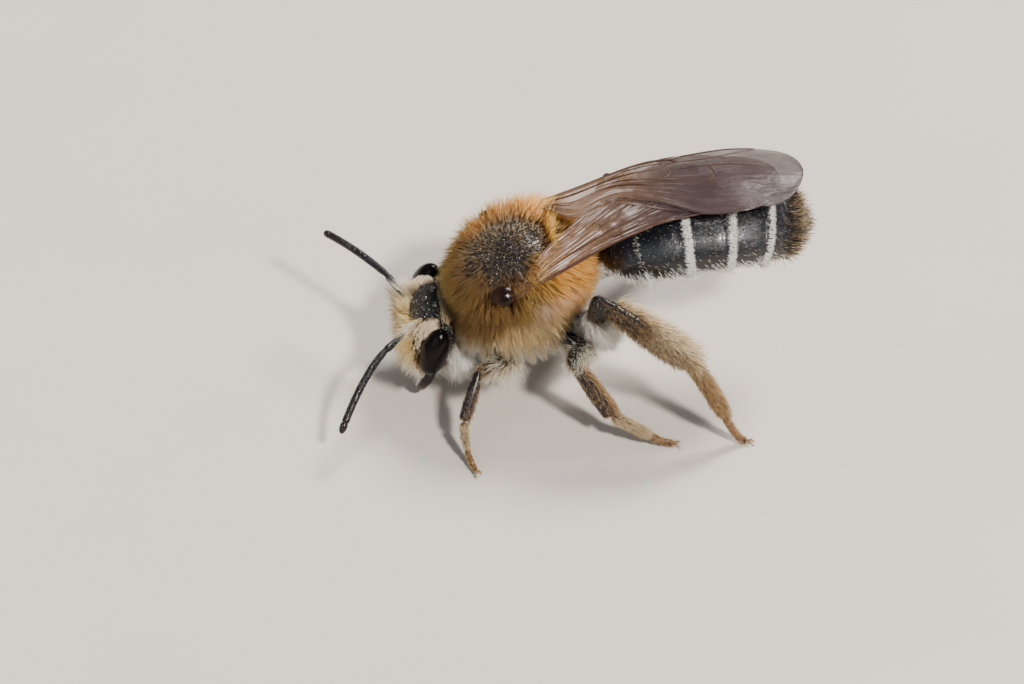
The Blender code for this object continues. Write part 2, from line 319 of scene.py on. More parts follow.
def tube(bm, middle, aside, size, around, along, rows=(0, 1), part=(0, 1), ends=0.1):
    # A rod with rounded ends along part of the line middle(t). aside(ahead) is one way across
    # it, and size(way) gives its half width that way and the other way.
    start, stop = part

    def place(angle, way):
        t = start + (stop - start) * way
        ahead = (middle(min(1, t + 0.01)) - middle(max(0, t - 0.01))).normalized()
        across = aside(ahead).normalized()
        through = across.cross(ahead)
        wide, high = size(way)
        off = across * wide * math.cos(angle) + through * high * math.sin(angle)
        return middle(t) + off * capped(way, ends)

    return ball(bm, around, along, place, rows)


def limb(bm, path, size, around, along, side=(1, 0, 0), **more):
    def aside(ahead):
        return Vector(side).cross(ahead).cross(ahead)

    return tube(bm, lambda t: bezier(path, t), aside, size, around, along, **more)


def readAll(rows, key, width=1, kind=np.float32):
    values = np.empty(len(rows) * width, kind)
    rows.foreach_get(key, values)
    return values.reshape(-1, width)


def spotsOf(mesh):
    return (readAll(mesh.vertices, "co", 3) - np.array(origin, np.float32)) / mm


def paint(mesh, colour):
    colours = np.ones((len(mesh.vertices), 4), np.float32)
    colours[:, :3] = colour
    layer = mesh.attributes.new("marking", "FLOAT_COLOR", "POINT")
    layer.data.foreach_set("color", colours.ravel())


def showPiece(name, mesh, finish, stands=()):
    mesh.shade_smooth()
    mesh.materials.append(finishes[finish])
    piece = bpy.data.objects.new(name, mesh)
    bpy.context.collection.objects.link(piece)
    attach(piece, "root")
    if stands:
        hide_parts(*stands)
    return piece


def makePiece(bm, name, finish, stands=(), shade=None):
    # from millimetres to metres; shade(spots) gives each vertex its colour
    bmesh.ops.scale(bm, vec=(mm, mm, mm), verts=bm.verts)
    bmesh.ops.translate(bm, vec=origin, verts=bm.verts)
    mesh = bpy.data.meshes.new(name)
    bm.to_mesh(mesh)
    bm.free()
    if shade:
        paint(mesh, shade(spotsOf(mesh)))
    return showPiece(name, mesh, finish, stands)


def blend(first, second, mask):
    mask = np.asarray(mask)[..., None]
    return np.asarray(first) * (1 - mask) + np.asarray(second) * mask


def layered(colours, first, *layers):
    # named colours laid over the first, each under its mask
    result = colours[first]
    for name, mask in layers:
        result = blend(result, colours[name], mask)
    return result


# hair
hair = {
    "most": 19800,  # in one coat
    "sunk": 0.03,  # depth of a root under the skin
    "lowest": 0.004,  # height over the floor
    "least": 0.16,  # how far off the skin a hair rises, as a sine
    "narrowing": 0.75,  # width at half length
    "patch": 0.0015,  # half a hair's room in its map
    "usual": {
        "uneven": 0.25, "wander": 0.16, "bend": 0.35, "thick": 0.011,
        "lock": 0.16, "gather": 0.3, "mottle": 0.16,
    },
}


def coatLike(tries, seed, **changes):
    return hair["usual"] | {"tries": tries, "seed": seed} | changes


def unit(rows):
    return rows / np.maximum(np.linalg.norm(rows, axis=1, keepdims=True), 1e-9)


def stacked(*parts):
    # rows of x, y and z from three columns or numbers
    return np.stack(np.broadcast_arrays(*parts), axis=1)


def orderedTriangles(mesh):
    # Corner and loop numbers of a mesh's triangles, in an order that is the same on every run
    sizes = readAll(mesh.polygons, "loop_total", kind=np.int32)
    starts = readAll(mesh.polygons, "loop_start", kind=np.int32)
    corners = readAll(mesh.loops, "vertex_index", kind=np.int32).ravel()
    turn = np.minimum(np.arange(4), sizes - 1)
    first = corners[starts + turn].argmin(axis=1)[:, None]
    loops = starts + (first + turn) % sizes
    faces = corners[loops]
    loops = loops[np.lexsort((faces[:, 2], faces[:, 1], faces[:, 0]))]
    loops = np.concatenate([loops[:, (0, 1, 2)], loops[:, (0, 2, 3)]]).ravel()
    return corners[loops], loops


def scatter(skins, tries, chance):
    # random roots over the skins, as places, normals and map places
    found = []
    for skin in skins:
        mesh = skin.data
        verts, loops = orderedTriangles(mesh)
        facing = readAll(mesh.vertices, "normal", 3)
        flat = readAll(mesh.uv_layers["skinMap"].data, "uv", 2)
        rows = (spotsOf(mesh)[verts], facing[verts], flat[loops])
        found.append([row.reshape(-1, 3, row.shape[1]) for row in rows])
    places, normals, maps = (np.concatenate(rows) for rows in zip(*found))
    edges = np.cross(places[:, 1] - places[:, 0], places[:, 2] - places[:, 0])
    area = np.linalg.norm(edges, axis=1)
    pick = chance.choice(len(area), tries, p=area / area.sum())
    a = chance.random(tries)
    b = chance.random(tries)
    over = a + b > 1
    a = np.where(over, 1 - a, a)
    b = np.where(over, 1 - b, b)
    weights = np.stack([1 - a - b, a, b], axis=1)[:, :, None]
    spots, facing, flat = ((rows[pick] * weights).sum(axis=1) for rows in (places, normals, maps))
    return spots, unit(facing), flat


def growCoat(name, skins, coat, slotName, rule, *choices):
    # Each hair is a thin three-sided spike in two lengths, bent towards the lie of the coat.
    # The rule gives each try its density, length, lie, stand, tip and root colours.
    # Every try has draws of its own, whichever of the others grow.
    tries = coat["tries"]
    chance = np.random.default_rng(coat["seed"])
    spots, normals, maps = scatter(skins, tries, chance)
    density, length, lie, stand, tipColour, rootColour = rule(spots, normals, maps, *choices)
    keep = np.flatnonzero(chance.random(tries) < density)[: hair["most"]]
    count = len(keep)
    rows = (spots, normals, lie, tipColour, rootColour)
    root, normal, lie, tipColour, rootColour = (row[keep] for row in rows)
    length, stand = (np.broadcast_to(row, tries)[keep][:, None] for row in (length, stand))

    def drawn(width=1):
        return chance.normal(size=(tries, width))[keep]

    def share():
        return chance.random((tries, 1))[keep]

    lie = unit(lie - normal * (lie * normal).sum(axis=1, keepdims=True))
    length = length * (1 + coat["uneven"] * (2 * share() - 1))
    rising = unit(normal * stand + lie * (1 - stand) + drawn(3) * coat["wander"])
    low = np.maximum(0, hair["least"] - (rising * normal).sum(axis=1, keepdims=True))
    rising = unit(rising + normal * low)
    ending = unit(rising + lie * coat["bend"] + drawn(3) * coat["wander"] * 0.7)
    base = root - normal * np.minimum(hair["sunk"], length * 0.10)
    middle = base + rising * length * 0.5
    tip = middle + ending * length * 0.5

    # hairs of one lock lean together
    cell = np.floor(root / coat["lock"]).astype(np.int64)
    cell = cell[:, 0] * 1000003 + cell[:, 1] * 1009 + cell[:, 2]
    groups = np.unique(cell, return_inverse=True)[1].ravel()
    sizes = np.bincount(groups)
    for bent, part in ((tip, coat["gather"]), (middle, coat["gather"] * 0.4)):
        means = [np.bincount(groups, bent[:, k]) / sizes for k in range(3)]
        bent += (np.stack(means, axis=1)[groups] - bent) * part

    thick = coat["thick"] * (0.75 + 0.5 * share())
    up = unit(np.cross(rising, drawn(3)))
    other = np.cross(rising, up)
    corners = np.empty((count, 7, 3))
    walls = [(0, 2, 1)]
    for k in range(3):
        turn = 2 * math.pi * k / 3
        spoke = (up * math.cos(turn) + other * math.sin(turn)) * thick
        corners[:, k] = base + spoke
        corners[:, 3 + k] = middle + spoke * hair["narrowing"]
        n = (k + 1) % 3
        walls += [(k, n, 3 + n), (k, 3 + n, 3 + k), (3 + k, 3 + n, 6)]
    corners[:, 6] = tip
    corners[:, :, 2] = np.maximum(corners[:, :, 2], hair["lowest"])
    faces = (np.arange(count)[:, None, None] * 7 + np.array(walls)).ravel()

    tone = (1 + drawn() * coat["mottle"]).clip(0.5, 1.6)
    rootColour = rootColour * tone
    tipColour = tipColour * tone
    colours = np.empty((count, 7, 3))
    colours[:, 0:3] = rootColour[:, None]
    colours[:, 3:6] = (rootColour * 0.6 + tipColour * 0.4)[:, None]
    colours[:, 6] = tipColour
    flat = np.empty((count, 7, 2))
    flat[:] = (maps[keep] % 1.0).clip(0.002, 0.998)[:, None]
    flat[:, 0:3, 1] -= hair["patch"]
    flat[:, 6, 1] += hair["patch"]
    flat[:, (0, 3), 0] -= hair["patch"]
    flat[:, (2, 5), 0] += hair["patch"]

    mesh = bpy.data.meshes.new(name)
    mesh.vertices.add(count * 7)
    mesh.vertices.foreach_set("co", (corners.reshape(-1, 3) * mm + np.array(origin)).ravel())
    mesh.loops.add(len(faces))
    mesh.loops.foreach_set("vertex_index", faces)
    mesh.polygons.add(len(faces) // 3)
    mesh.polygons.foreach_set("loop_start", np.arange(0, len(faces), 3))
    mesh.update(calc_edges=True)
    mesh.uv_layers.new(name="OFBake").data.foreach_set("uv", flat.reshape(-1, 2)[faces].ravel())
    paint(mesh, colours.reshape(-1, 3))
    showPiece(name, mesh, "fur")
    print(name, "hairs", count)


# finishes
tints = {
    "shine": (1.0, 0.95, 0.88),
    # painted highlight colour of the bright specks on the cuticle
    "glintSpeck": (0.85, 0.78, 0.64),
    "eye": ((0.0015, 0.0008, 0.0008), (0.004, 0.002, 0.002)),
    "ocellus": ((0.004, 0.003, 0.004), (0.012, 0.008, 0.008)),
    "wingCloud": (0.075, 0.045, 0.045),
    # painted highlight colour of the glint streaks on the wings
    "wingGlintPaint": (0.85, 0.74, 0.72),
    # painted shade colour of the wing's folds
    "wingFoldShade": (0.030, 0.015, 0.012),
    "veinGrain": (0.05, 0.018, 0.008),
}
looks = {
    "thoraxCuticle": {
        "pitGap": 0.070, "pitEdge": 0.55, "pitDepth": 0.050, "netSize": 0.02, "netDepth": 0.003,
        "roughness": 0.20, "shine": 0.45, "bloom": (0.008, 0.005, 0.003),
        "specks": 0.8, "speckGap": 0.10, "speckSize": 0.16,
    },
    "headCuticle": {
        "pitGap": 0.062, "pitEdge": 0.60, "pitDepth": 0.060, "netSize": 0.016, "netDepth": 0.003,
        "roughness": 0.10, "shine": 0.42, "bloom": (0.004, 0.004, 0.004),
        "specks": 0.9, "speckGap": 0.080, "speckSize": 0.17,
    },
    "abdomenPlate": {
        "pitGap": 0.085, "pitEdge": 0.30, "pitDepth": 0.005, "netSize": 0.022, "netDepth": 0.001,
        "roughness": 0.14, "shine": 0.60, "bloom": (0.003, 0.004, 0.008),
        "specks": 0.30, "speckGap": 0.10, "speckSize": 0.12,
    },
    "limbCuticle": {
        "pitGap": 0.06, "pitEdge": 0.38, "pitDepth": 0.006, "netSize": 0.018, "netDepth": 0.002,
        "roughness": 0.14, "shine": 0.30, "bloom": (0.004, 0.004, 0.006),
        "specks": 0.35, "speckGap": 0.09, "speckSize": 0.14,
    },
    "wingShield": {
        "pitGap": 0.09, "pitEdge": 0.25, "pitDepth": 0.002, "netSize": 0.02, "netDepth": 0.0003,
        "roughness": 0.05, "shine": 0.16, "bloom": (0.008, 0.003, 0.002),
        "specks": 0.0, "speckGap": 0.1, "speckSize": 0.1,
    },
}


def chitinFinish(name, look):
    # Shining cuticle: fine net of cells, scattered pits painted darker as shade in them, faint blue or
    # brown bloom, and pale specks painted as glints
    f = Finish(name)
    spot = f.place()
    pits = 1 - f.cells(spot, look["pitGap"]).over(0.10, look["pitEdge"])
    net = f.cells(spot, look["netSize"], "DISTANCE_TO_EDGE").over(0.0, 0.12)
    cloud = f.noise(spot, 0.5, 4.0).over(0.35, 0.7)
    colour = f.mix(cloud * 0.5, f.attribute("marking", "Color"), look["bloom"])
    # the pits are painted darker: painted shade in them
    colour = f.mix(pits * 0.6, colour, darker(look["bloom"], 0.4))
    # pale specks painted into the colour as glints: painted highlight
    specks = f.cells(spot, look["speckGap"]).over(look["speckSize"], look["speckSize"] * 0.6)
    colour = f.mix(specks * look["specks"], colour, tints["glintSpeck"])
    rough = look["roughness"] + cloud * 0.10 + pits * 0.2 + (1 - net) * 0.08
    normal = f.bump(1 - pits, look["pitDepth"], under=f.bump(net, look["netDepth"]))
    return f.done(colour, rough, normal, Specular_IOR_Level=look["shine"])


def furFinish():
    f = Finish("fur")
    bright = f.noise(f.place(), 0.06).over(0.2, 0.8)
    colour = f.mix(bright * 0.25, f.attribute("marking", "Color"), tints["shine"], "SOFT_LIGHT")
    glow = {"Subsurface_Weight": 0.5, "Subsurface_Scale": 0.05 * mm, "Subsurface_Radius": (1.0, 0.7, 0.45)}
    return f.done(colour, 0.5, Specular_IOR_Level=0.35, **glow)


def eyeFinish():
    f = Finish("compoundEye")
    spot = f.place()
    facets = f.cells(spot, 0.026).over(0.15, 0.62)
    depth = f.noise(spot, 0.6, 3.0).over(0.3, 0.7)
    normal = f.bump(1 - facets, 0.0012)
    colour = f.mix(depth, *tints["eye"])
    return f.done(colour, 0.15 + depth * 0.05, normal, Specular_IOR_Level=0.38, IOR=1.26)


def ocellusFinish():
    f = Finish("ocellusGlass")
    depth = f.noise(f.place(), 0.08).over(0.3, 0.7)
    return f.done(f.mix(depth, *tints["ocellus"]), 0.16, Coat_Weight=0.8, Coat_Roughness=0.10)


def wingFinish():
    # Smoky membrane with clouds and fine creases; the pale streaks along the pleats are painted highlights,
    # and the dark folds between them painted shade
    f = Finish("wingMembrane")
    spot = f.place()
    # sparkle: where the painted glint streaks are laid; it also deepens the creases
    sparkle = f.attribute("sparkle")
    creases = f.noise(f.stretched(spot, (1, 4.5, 1), "TEXTURE"), 0.16, 3.0, 0.6)
    cloud = f.noise(spot, 0.55, 4.0).over(0.3, 0.75)
    colour = f.mix(cloud * 0.35, f.attribute("marking", "Color"), tints["wingCloud"])
    rays = f.noise(f.stretched(f.attribute("wingMap", "Vector"), (30, 4, 1)), 1, 3.0, 0.6, unit=1)
    # painted highlight: pale streaks along the pleats, which also make the membrane less clear
    paintedGlints = rays.over(0.51, 0.62) * sparkle * f.noise(spot, 0.45).over(0.35, 0.6)
    colour = f.mix(paintedGlints * 0.9, colour, tints["wingGlintPaint"])
    # painted shade in the folds between the glint streaks
    colour = f.mix(rays.over(0.50, 0.36) * 0.35, colour, tints["wingFoldShade"])
    specks = 1 - f.cells(spot, 0.05).over(0.12, 0.3)
    clear = f.attribute("clearness") * (1 - 0.25 * cloud)
    alpha = 1 - clear * (1 - specks * 0.35) * (1 - paintedGlints * 0.5)
    normal = f.bump(specks, 0.002, 0.6, f.bump(creases * (0.45 + sparkle), 0.09))
    return f.done(colour, 0.27 + cloud * 0.16, normal, Alpha=alpha, Specular_IOR_Level=0.22)


def veinFinish():
    f = Finish("wingVein")
    grain = f.noise(f.place(), 0.05, 3.0)
    colour = f.mix(grain.over(0.3, 0.7) * 0.5, f.attribute("marking", "Color"), tints["veinGrain"])
    return f.done(colour, 0.3 + grain * 0.15, f.bump(grain, 0.004), Specular_IOR_Level=0.4)


finishes = {name: chitinFinish(name, look) for name, look in looks.items()}
finishes |= {"fur": furFinish(), "eye": eyeFinish(), "ocellus": ocellusFinish()}
finishes |= {"wing": wingFinish(), "vein": veinFinish()}
print("finishes mixed:", len(finishes))


# thorax
thorax = {
    "centre": (0, 0, 3.35),
    "halfWidth": 1.38,
    "halfLength": 1.58,
    "rise": 1.17,
    "depth": 1.74,
    "pitch": 14,
    "breastForward": 0.38,
    "scutellum": 0.88,
    "scutellumRise": 0.12,
    "groove": 0.60,
    "grooveDepth": 0.07,
    "seam": 0.62,
    "seamDepth": 0.022,
    "disc": (0.12, -0.42, 0.98, 0.98),  # the bare shield's middle and its half sizes
    "hinge": (1.38, -0.42, 3.75),  # no hair grows close round it
    "hollow": (0.68, 3.08),  # a thin patch low on the rear of each flank
    "topHair": 0.62,
    "sideHair": 0.80,
    "split": (3.0, 3.3),  # the upper coat takes over from the lower between these heights
    "neck": ((0, -2.1, 2.05), (0, -1.9, 2.2), (0, -1.1, 2.7)),
    "waist": ((0, 1.15, 3.25), (0, 1.7, 3.55), (0, 2.2, 3.78)),
    # skin
    "back": (0.055, 0.028, 0.010),
    "belly": (0.05, 0.04, 0.03),
    "bare": (0.008, 0.006, 0.005),
    "joint": (0.010, 0.009, 0.009),
    # hair tips
    "orange": (0.86, 0.26, 0.026),
    # the next two are brown hair round the bare shield, laid stronger on the left side, which faces the
    # camera; that left-side part is painted shade
    "shoulderAndShade": (0.20, 0.062, 0.010),
    "saddleAndShade": (0.15, 0.052, 0.011),
    # front: painted shade, darker tips low on the front of the left flank only
    "front": (0.095, 0.038, 0.010),
    "golden": (0.98, 0.62, 0.26),
    # nape: painted shade, dark tips behind the head on the left side only
    "napeShade": (0.14, 0.056, 0.013),
    "cream": (0.86, 0.68, 0.40),
    "white": (0.95, 0.91, 0.82),
    "dull": (0.16, 0.075, 0.024),
    "grey": (0.15, 0.090, 0.046),
    # hair roots
    "rust": (0.055, 0.019, 0.004),
    "flankRoot": (0.36, 0.19, 0.068),
    # roots painted darker under the painted shade of the front and nape
    "shadedRoot": (0.024, 0.011, 0.005),
    "lowRoot": (0.36, 0.25, 0.12),
    "discRoot": (0.02, 0.012, 0.007),
}


def thoraxSpot(angle, way):
    x, z, y = globe(angle, way)
    narrow = 1 - 0.12 * max(0, -z) ** 2
    slope = 0.3 * smooth(0, 1, -y) * max(0, z)
    height = thorax["rise"] if z > 0 else thorax["depth"]
    forward = thorax["breastForward"] * max(0, -z)
    wide = thorax["halfWidth"] * narrow
    spot = Vector((x * wide, -y * thorax["halfLength"] - forward, z * height - slope))
    spot = Vector(thorax["centre"]) + turned(thorax["pitch"], "X", 3) @ spot
    hump = bell(spot.y, thorax["scutellum"], 0.24) * bell(spot.x, 0, 0.72)
    groove = bell(spot.y, thorax["groove"], 0.05) * bell(spot.x, 0, 1.0, 4)
    seam = bell(abs(spot.x), thorax["seam"], 0.03)
    seam *= smooth(-1.2, -0.6, spot.y) * smooth(0.5, 0.1, spot.y)
    relief = thorax["scutellumRise"] * hump - thorax["grooveDepth"] * groove - thorax["seamDepth"] * seam
    spot.z += max(0, z) * relief
    return spot


def discAt(spots, near=0.78, far=1.12):
    # 1 on the bare shield of the back, 0 off it
    x, y, z = spots.T
    middleX, middleY, halfX, halfY = thorax["disc"]
    off = np.sqrt(((x - middleX) / halfX) ** 2 + ((y - middleY) / halfY) ** 2)
    off = off + 0.05 * np.sin(x * 9 + 1) + 0.05 * np.sin(y * 11)
    return smooth(far, near, off) * smooth(3.4, 3.75, z)


def dotAt(spots):
    # the darker middle of the scutellum
    far = np.sqrt((spots[:, 0] / 0.42) ** 2 + ((spots[:, 1] - thorax["scutellum"]) / 0.16) ** 2)
    return smooth(1.2, 0.7, far) * smooth(3.5, 3.8, spots[:, 2])


def thoraxShade(spots):
    bare = np.maximum(discAt(spots), dotAt(spots))
    return layered(thorax, "back", ("belly", smooth(3.2, 2.2, spots[:, 2])), ("bare", bare))


def thoraxFur(spots):
    x, y, z = spots.T
    # left: the side turned to the camera, where painted shade is laid
    left = smooth(-0.6, 0.1, x)
    # painted shade behind the head, between head and thorax, on the left side only
    napeShade = bell(x, 0, 0.9) * smooth(-0.6, -1.1, y) * smooth(2.3, 2.9, z) * left
    # the brown ring round the shield and the saddle below it are real brown hair, made stronger on the left
    # side as painted shade
    shoulderAndShade = discAt(spots, 1.0, 1.55) * (0.25 + 0.75 * smooth(-0.9, 0.1, x))
    saddleAndShade = smooth(4.15, 3.8, z) * smooth(0.8, 0.1, y) * (0.4 + 0.6 * smooth(-0.9, -0.3, x))
    # painted shade low on the front of the left flank
    front = smooth(0.20, -0.35, y) * smooth(-0.1, 0.5, x) * smooth(2.80, 3.15, z)
    line = 3.28 - 0.7 * smooth(-0.4, -1.0, y)
    behind = smooth(-0.1, 0.3, y) * smooth(1.2, 0.8, y) * smooth(3.85, 3.55, z)
    pale = smooth(2.5, 1.9, z) * 0.85 + 0.5 * smooth(0.5, 1.3, y) * smooth(2.7, 2.1, z)
    pale = pale + 0.3 * smooth(-0.7, -1.2, y) * smooth(2.2, 1.7, z)
    tip = layered(
        thorax, "orange", ("shoulderAndShade", shoulderAndShade), ("saddleAndShade", saddleAndShade), ("front", front),
        ("golden", smooth(line, line - 0.35, z)), ("napeShade", napeShade),
        ("cream", smooth(2.75, 2.25, z)), ("cream", behind * 0.25), ("white", np.clip(pale, 0, 1)),
    )
    root = layered(
        # roots under the painted shade of the front and nape are darker too
        thorax, "rust", ("flankRoot", smooth(3.5, 2.9, z)), ("shadedRoot", np.maximum(front, napeShade)),
        ("lowRoot", smooth(2.5, 1.9, z)),
    )
    return tip, root


def thoraxRule(spots, normals, maps, upper):
    x, y, z = spots.T
    disc = discAt(spots)
    dot = dotAt(spots)
    tip, root = thoraxFur(spots)
    tip = blend(tip, layered(thorax, "dull", ("grey", disc)), np.maximum(disc, dot * 0.8))
    root = blend(root, thorax["discRoot"], np.maximum(disc, dot))
    top = unit(stacked(x, y + 0.45, 0)) + np.array((0, 0.15, -0.25))
    flank = stacked(0, 0.55 - 0.9 * smooth(-0.5, -1.2, y), -1)
    lie = blend(flank, top, smooth(3.0, 3.9, z))
    stand = 0.70 - 0.16 * bell(z, 3.0, 0.5)
    fringe = 1 + (0.20 + 0.25 * smooth(0, -0.6, x)) * smooth(0.6, 1.0, np.abs(x)) * smooth(3.4, 3.8, z)
    length = thorax["topHair"] * fringe + (thorax["sideHair"] - thorax["topHair"]) * smooth(3.3, 2.5, z)
    length = length + 0.18 * smooth(2.8, 2.3, z)
    length = length * (1 - 0.70 * disc) * (1 - 0.3 * dot) * (1 - 0.2 * discAt(spots, 1.0, 1.4))
    density = (1 - 0.72 * disc) * (1 - 0.6 * dot) * (1 - 0.35 * smooth(3.4, 3.9, z))
    hingeX, hingeY, hingeZ = thorax["hinge"]
    hinge = np.sqrt((np.abs(x) - hingeX) ** 2 + (y - hingeY) ** 2 + (z - hingeZ) ** 2)
    clearing = 0.10 + 0.06 * smooth(0, 0.5, x)
    density = density * smooth(clearing, clearing + 0.20, hinge)
    hollowY, hollowZ = thorax["hollow"]
    hollow = np.sqrt(((y - hollowY) / 0.30) ** 2 + ((z - hollowZ) / 0.22) ** 2)
    density = density * (0.25 + 0.75 * smooth(0.6, 1.2, hollow))
    share = smooth(*thorax["split"], z)
    density = density * (share if upper else 1 - share)
    return density, length, lie, stand, tip, root


def makeThorax():
    bm = bmesh.new()
    ball(bm, 112, 84, thoraxSpot)
    skin = makePiece(bm, "thoraxSkin", "thoraxCuticle", ["thorax"], thoraxShade)
    upper = coatLike(50000, 11, wander=0.13, thick=0.0085, gather=0.22, lock=0.12)
    lower = coatLike(36000, 12, wander=0.08, thick=0.0105, gather=0.60, lock=0.24, mottle=0.26)
    growCoat("coatThoraxUpper", [skin], upper, "orange_fur", thoraxRule, True)
    growCoat("coatThoraxLower", [skin], lower, "orange_fur", thoraxRule, False)
    bm = bmesh.new()
    limb(bm, thorax["neck"], lambda way: (0.36, 0.34), 24, 12)
    limb(bm, thorax["waist"], lambda way: (0.34 - 0.1 * way, 0.32 - 0.1 * way), 24, 12)
    makePiece(bm, "neckAndWaist", "thoraxCuticle", (), lambda spots: thorax["joint"])


makeThorax()
print("thorax made")


# head
head = {
    "centre": (0, -2.25, 1.95),
    "lean": -5,
    "tilt": 7,
    "halfWidth": 1.34,
    "up": 0.70,
    "down": 0.92,
    "front": 0.56,
    "back": 0.66,
    "shieldRise": 0.13,
    "keelRise": 0.05,
    "socketDepth": 0.06,
    "eye": (1.20, -0.02, 0.02),
    "eyeHalf": (0.34, 0.35, 0.69),
    "eyeTilt": 12,
    "eyeLean": 11,
    "ocelli": ((0.0, -0.20), (0.25, 0.02), (-0.25, 0.02)),
    "ocellusRadius": 0.088,
    "jaw": ((0.90, -2.3, 1.15), (1.12, -2.55, 0.60), (0.70, -2.60, 0.19)),
    "shortHair": 0.07,
    "faceHair": 0.40,
    "beardHair": 1.10,
    "velvetHair": 0.13,
    "tuftHair": 0.46,
    # skin
    "shell": (0.006, 0.006, 0.006),
    "velvetSkin": (0.66, 0.47, 0.28),
    "jawRoot": (0.006, 0.005, 0.005),
    "jawTip": (0.09, 0.022, 0.008),
    # hair tips
    "plain": (0.42, 0.36, 0.28),
    "face": (0.70, 0.46, 0.17),
    "tuft": (0.88, 0.80, 0.62),
    "velvet": (0.86, 0.66, 0.40),
    "beard": (0.97, 0.94, 0.85),
    "crown": (0.40, 0.25, 0.11),
    # hair roots
    "plainRoot": (0.12, 0.09, 0.06),
    "faceRoot": (0.42, 0.24, 0.075),
    "velvetRoot": (0.74, 0.52, 0.30),
    "beardRoot": (0.68, 0.61, 0.48),
}
headTurn = turned(head["tilt"], "Y") @ turned(head["lean"], "X")
headPlace = Matrix.Translation(head["centre"]) @ headTurn


def headSpot(angle, way):
    x, z, y = globe(angle, way)
    depth = head["front"] if y > 0 else head["back"]
    height = head["up"] if z > 0 else head["down"]
    spot = Vector((x * head["halfWidth"] * (1 - 0.14 * z * z), -y * depth, z * height))
    if y > 0:
        shield = bell(spot.x, 0, 0.52, 4) * bell(spot.z, -0.48, 0.30, 4)
        keel = bell(spot.x, 0, 0.16) * bell(spot.z, 0.02, 0.22)
        sockets = bell(abs(spot.x), 0.33, 0.11) * bell(spot.z, 0.03, 0.11)
        spot.y += head["socketDepth"] * sockets - head["shieldRise"] * shield - head["keelRise"] * keel
    return headPlace @ spot


def headLocal(spots):
    back = np.array(headPlace.inverted())
    return spots @ back[:3, :3].T + back[:3, 3]


def eyeMargin(z):
    # how far from the middle line the inner edge of the eye stands at height z
    centre = head["eye"][0] - math.tan(math.radians(head["eyeTilt"])) * z
    return centre - 0.33 * np.sqrt(np.clip(1 - ((z - head["eye"][2]) / 0.70) ** 2, 0, 1))


def velvetAt(local):
    # the velvet strip along the upper inner edge of each eye
    x, y, z = local.T
    gap = eyeMargin(z) - np.abs(x)
    wide = 0.09 + 0.15 * smooth(-0.1, 0.5, z)
    strip = smooth(-0.14, -0.08, gap) * smooth(wide + 0.04, wide, gap)
    return strip * smooth(-0.26, -0.14, z) * smooth(0.68, 0.60, z) * smooth(0.12, 0.02, y)


def headRule(spots, normals, maps, behind):
    local = headLocal(spots)
    x, y, z = local.T
    wide = np.abs(x)
    margin = eyeMargin(z)
    velvet = velvetAt(local)
    sockets = bell(wide, 0.34, 0.27) * bell(z, 0, 0.20)
    frons = smooth(0.10, 0.24, z) * (1 - 0.8 * sockets) * smooth(0.56, 0.40, wide)
    frons = np.maximum(frons, smooth(0.42, 0.55, z))
    face = smooth(0.02, -0.12, y) * smooth(margin + 0.02, margin - 0.10, wide) * (1 - frons) * (1 - velvet)
    beard = smooth(0.32, 0.48, y) * smooth(-0.06, -0.36, z) + smooth(-0.66, -0.85, z)
    beard = np.clip(beard, 0, 1) * (1 - face)
    crown = smooth(0.10, 0.26, y) * smooth(0.30, 0.48, z) * smooth(0.95, 0.60, wide)
    tuft = smooth(0.36, 0.48, wide) * smooth(0.66, 0.56, wide)
    tuft = tuft * smooth(0.0, 0.12, z) * smooth(0.46, 0.36, z) * smooth(-0.05, -0.2, y)

    density = 0.38 * face + 0.24 * sockets + 0.80 * velvet + 0.95 * beard + 0.42 * crown
    density = density * smooth(margin + 0.62, margin + 0.30, wide) + 0.9 * beard
    eyeHole = ((wide - (head["eye"][0] - 0.21 * z)) / 0.33) ** 2 + (y / 0.33) ** 2 + (z / 0.66) ** 2
    density = np.where(eyeHole < 1, 0, np.clip(density, 0, 1))
    density = np.maximum(density, 0.5 * tuft) * (smooth(0.04, 0.10, y) if behind else smooth(0.10, 0.04, y))

    short = head["shortHair"]
    length = short + face * (head["faceHair"] - short + 0.28 * smooth(0.35, 0.60, wide)) + 0.06 * sockets
    length = length - face * 0.22 * smooth(-0.45, -0.75, z)
    length = length + beard * (head["beardHair"] - short) + crown * 0.13
    length = np.where(velvet > 0.5, head["velvetHair"], length)
    length = np.maximum(length, head["tuftHair"] * tuft)

    outward = stacked(np.sign(x) * (0.3 + 0.9 * smooth(0.35, 0.65, wide)), -0.6, 0.3 + 0.6 * z)
    lie = blend(outward, stacked(x * 0.3, -0.3, -1), smooth(-0.05, -0.3, z) * smooth(0.8, 0.5, wide))
    lie = blend(lie, stacked(np.sign(x) * 0.35, 1.0, -0.6), beard)
    lie = blend(lie, (0, 0.4, 1), crown) @ np.array(headTurn)[:3, :3].T

    lit = np.clip(face + sockets, 0, 1)
    whiskers = np.maximum(smooth(-0.25, -0.6, z), smooth(0.45, 0.8, wide) * smooth(0.0, 0.15, z))
    whiskers = np.clip(beard + 0.7 * face * whiskers, 0, 1)
    tip = layered(head, "plain", ("face", lit), ("tuft", tuft), ("velvet", velvet), ("beard", whiskers))
    tip = blend(tip, head["crown"], crown)
    root = layered(head, "plainRoot", ("faceRoot", lit), ("velvetRoot", velvet), ("beardRoot", beard))
    stand = 0.45 + 0.32 * face + 0.05 * beard
    return density, length, lie, stand, tip, root


